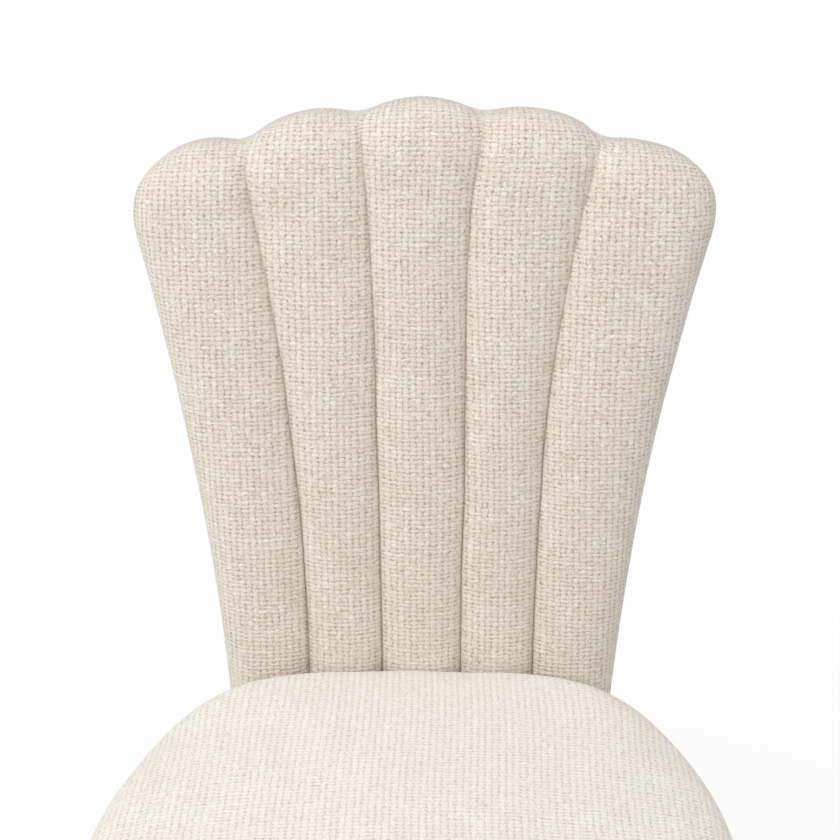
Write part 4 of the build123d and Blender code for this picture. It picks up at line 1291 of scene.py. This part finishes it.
def add_camera(stage):
    """The camera at the photograph's angle."""
    lens = bpy.data.cameras.new("camera")
    lens.lens = stage.lens
    lens.sensor_width = 36
    lens.clip_start, lens.clip_end = 0.05, 60
    camera = add_object("camera", lens)
    camera.location = (stage.camera_side, -stage.camera_back, stage.camera_height)
    turns = ((-stage.yaw, "Z"), (90 - stage.tilt, "X"), (stage.roll, "Z"))
    yaw, tilt, roll = [Matrix.Rotation(math.radians(degrees), 4, axis) for degrees, axis in turns]
    camera.rotation_euler = (yaw @ tilt @ roll).to_euler()
    bpy.context.scene.camera = camera


def add_lamp(name, power):
    """A soft square lamp at its place in the list."""
    place, height, size = LAMPS[name]
    light = bpy.data.lights.new(name, "AREA")
    light.shape = "SQUARE"
    light.size = size
    light.energy = power
    lamp = add_object(name, light)
    lamp.location = place
    lamp.rotation_euler = (Vector((0, 0, height)) - Vector(place)).to_track_quat("-Z", "Y").to_euler()


def seen_share(tree):
    """1 for rays from the camera, from a gloss or through glass."""
    path = put(tree, "LightPath")
    seen = calc(tree, "MAXIMUM", path.outputs["Is Camera Ray"], path.outputs["Is Glossy Ray"])
    return calc(tree, "MAXIMUM", seen, path.outputs["Is Transmission Ray"])


def add_sky(strength):
    """Even soft light, seen as white."""
    world = bpy.data.worlds.new("sky")
    tree = empty_tree(world)
    light = put(tree, "Background", {"Color": (1.0, 0.985, 0.965, 1.0), "Strength": strength})
    white = put(tree, "Background", {"Color": WHITE, "Strength": 1.0})
    both = put(tree, "MixShader", {0: seen_share(tree), 1: light.outputs[0], 2: white.outputs[0]})
    put(tree, "OutputWorld", {"Surface": both.outputs[0]})
    bpy.context.scene.world = world


def add_floor():
    """A wide pale floor that keeps a faint shadow."""
    corners = [(FLOOR * x, FLOOR * y, 0) for x, y in ((-1, -1), (1, -1), (1, 1), (-1, 1))]
    floor = new_piece("floor", corners, [(0, 1, 2, 3)])
    material = bpy.data.materials.new("floor")
    tree = empty_tree(material)
    pale = put(tree, "BsdfDiffuse", {"Color": (0.97, 0.97, 0.97, 1.0)})
    white = put(tree, "Emission", {"Color": WHITE, "Strength": 1.0})
    place = put(tree, "TexCoord").outputs["Object"]
    distance = put(tree, "VectorMath", {0: place}, operation="LENGTH").outputs["Value"]
    share = calc(tree, "MULTIPLY", seen_share(tree), span(tree, distance, 0.35, 1.0, 0.8, 1.0))
    both = put(tree, "MixShader", {0: share, 1: pale.outputs[0], 2: white.outputs[0]})
    put(tree, "OutputMaterial", {"Surface": both.outputs[0]})
    floor.data.materials.append(material)


class VANITY_OT_stage(bpy.types.Operator):
    """Set the floor, the light and the camera"""

    bl_idname = "vanity.stage"
    bl_label = "Stage"

    def execute(self, context):
        stage = context.scene.vanity_stage
        add_floor()
        add_sky(stage.sky)
        for name in LAMPS:
            add_lamp(name, getattr(stage, name))
        add_camera(stage)
        context.scene.view_settings.view_transform = "Standard"
        return {"FINISHED"}


# The add-on


class VANITY_PT_panel(bpy.types.Panel):
    """The chair's steps in the sidebar"""

    bl_idname = "VANITY_PT_panel"
    bl_label = "Vanity Chair"
    bl_space_type = "VIEW_3D"
    bl_region_type = "UI"
    bl_category = "Vanity Chair"

    def draw(self, context):
        for group in GROUPS:
            settings = getattr(context.scene, group)
            box = self.layout.box()
            for name in settings.bl_rna.properties.keys():
                if name not in ("rna_type", "name"):
                    box.prop(settings, name)
        for step in STEPS:
            self.layout.operator(step.bl_idname)


GROUPS = {
    "vanity_fabric": VanityFabric,
    "vanity_back": VanityBack,
    "vanity_seat": VanitySeat,
    "vanity_wood": VanityWood,
    "vanity_stage": VanityStage,
}
STEPS = (
    VANITY_OT_back_upholstery,
    VANITY_OT_back_outside,
    VANITY_OT_seat_upholstery,
    VANITY_OT_dust_cloth,
    VANITY_OT_finishes,
    VANITY_OT_stage,
)


def register():
    """Adds the settings, the steps and the panel."""
    for name, group in GROUPS.items():
        bpy.utils.register_class(group)
        setattr(bpy.types.Scene, name, bpy.props.PointerProperty(type=group))
    for step in (*STEPS, VANITY_PT_panel):
        bpy.utils.register_class(step)


def unregister():
    """Takes them away again."""
    for step in (VANITY_PT_panel, *STEPS[::-1]):
        bpy.utils.unregister_class(step)
    for name, group in GROUPS.items():
        delattr(bpy.types.Scene, name)
        bpy.utils.unregister_class(group)


def main():
    """Builds the chair and its stage."""
    register()
    bpy.ops.vanity.back_upholstery()
    bpy.ops.vanity.back_outside()
    bpy.ops.vanity.seat_upholstery()
    bpy.ops.vanity.dust_cloth()
    bpy.ops.vanity.finishes()
    bpy.ops.vanity.stage()


if __name__ == "__main__":
    main()
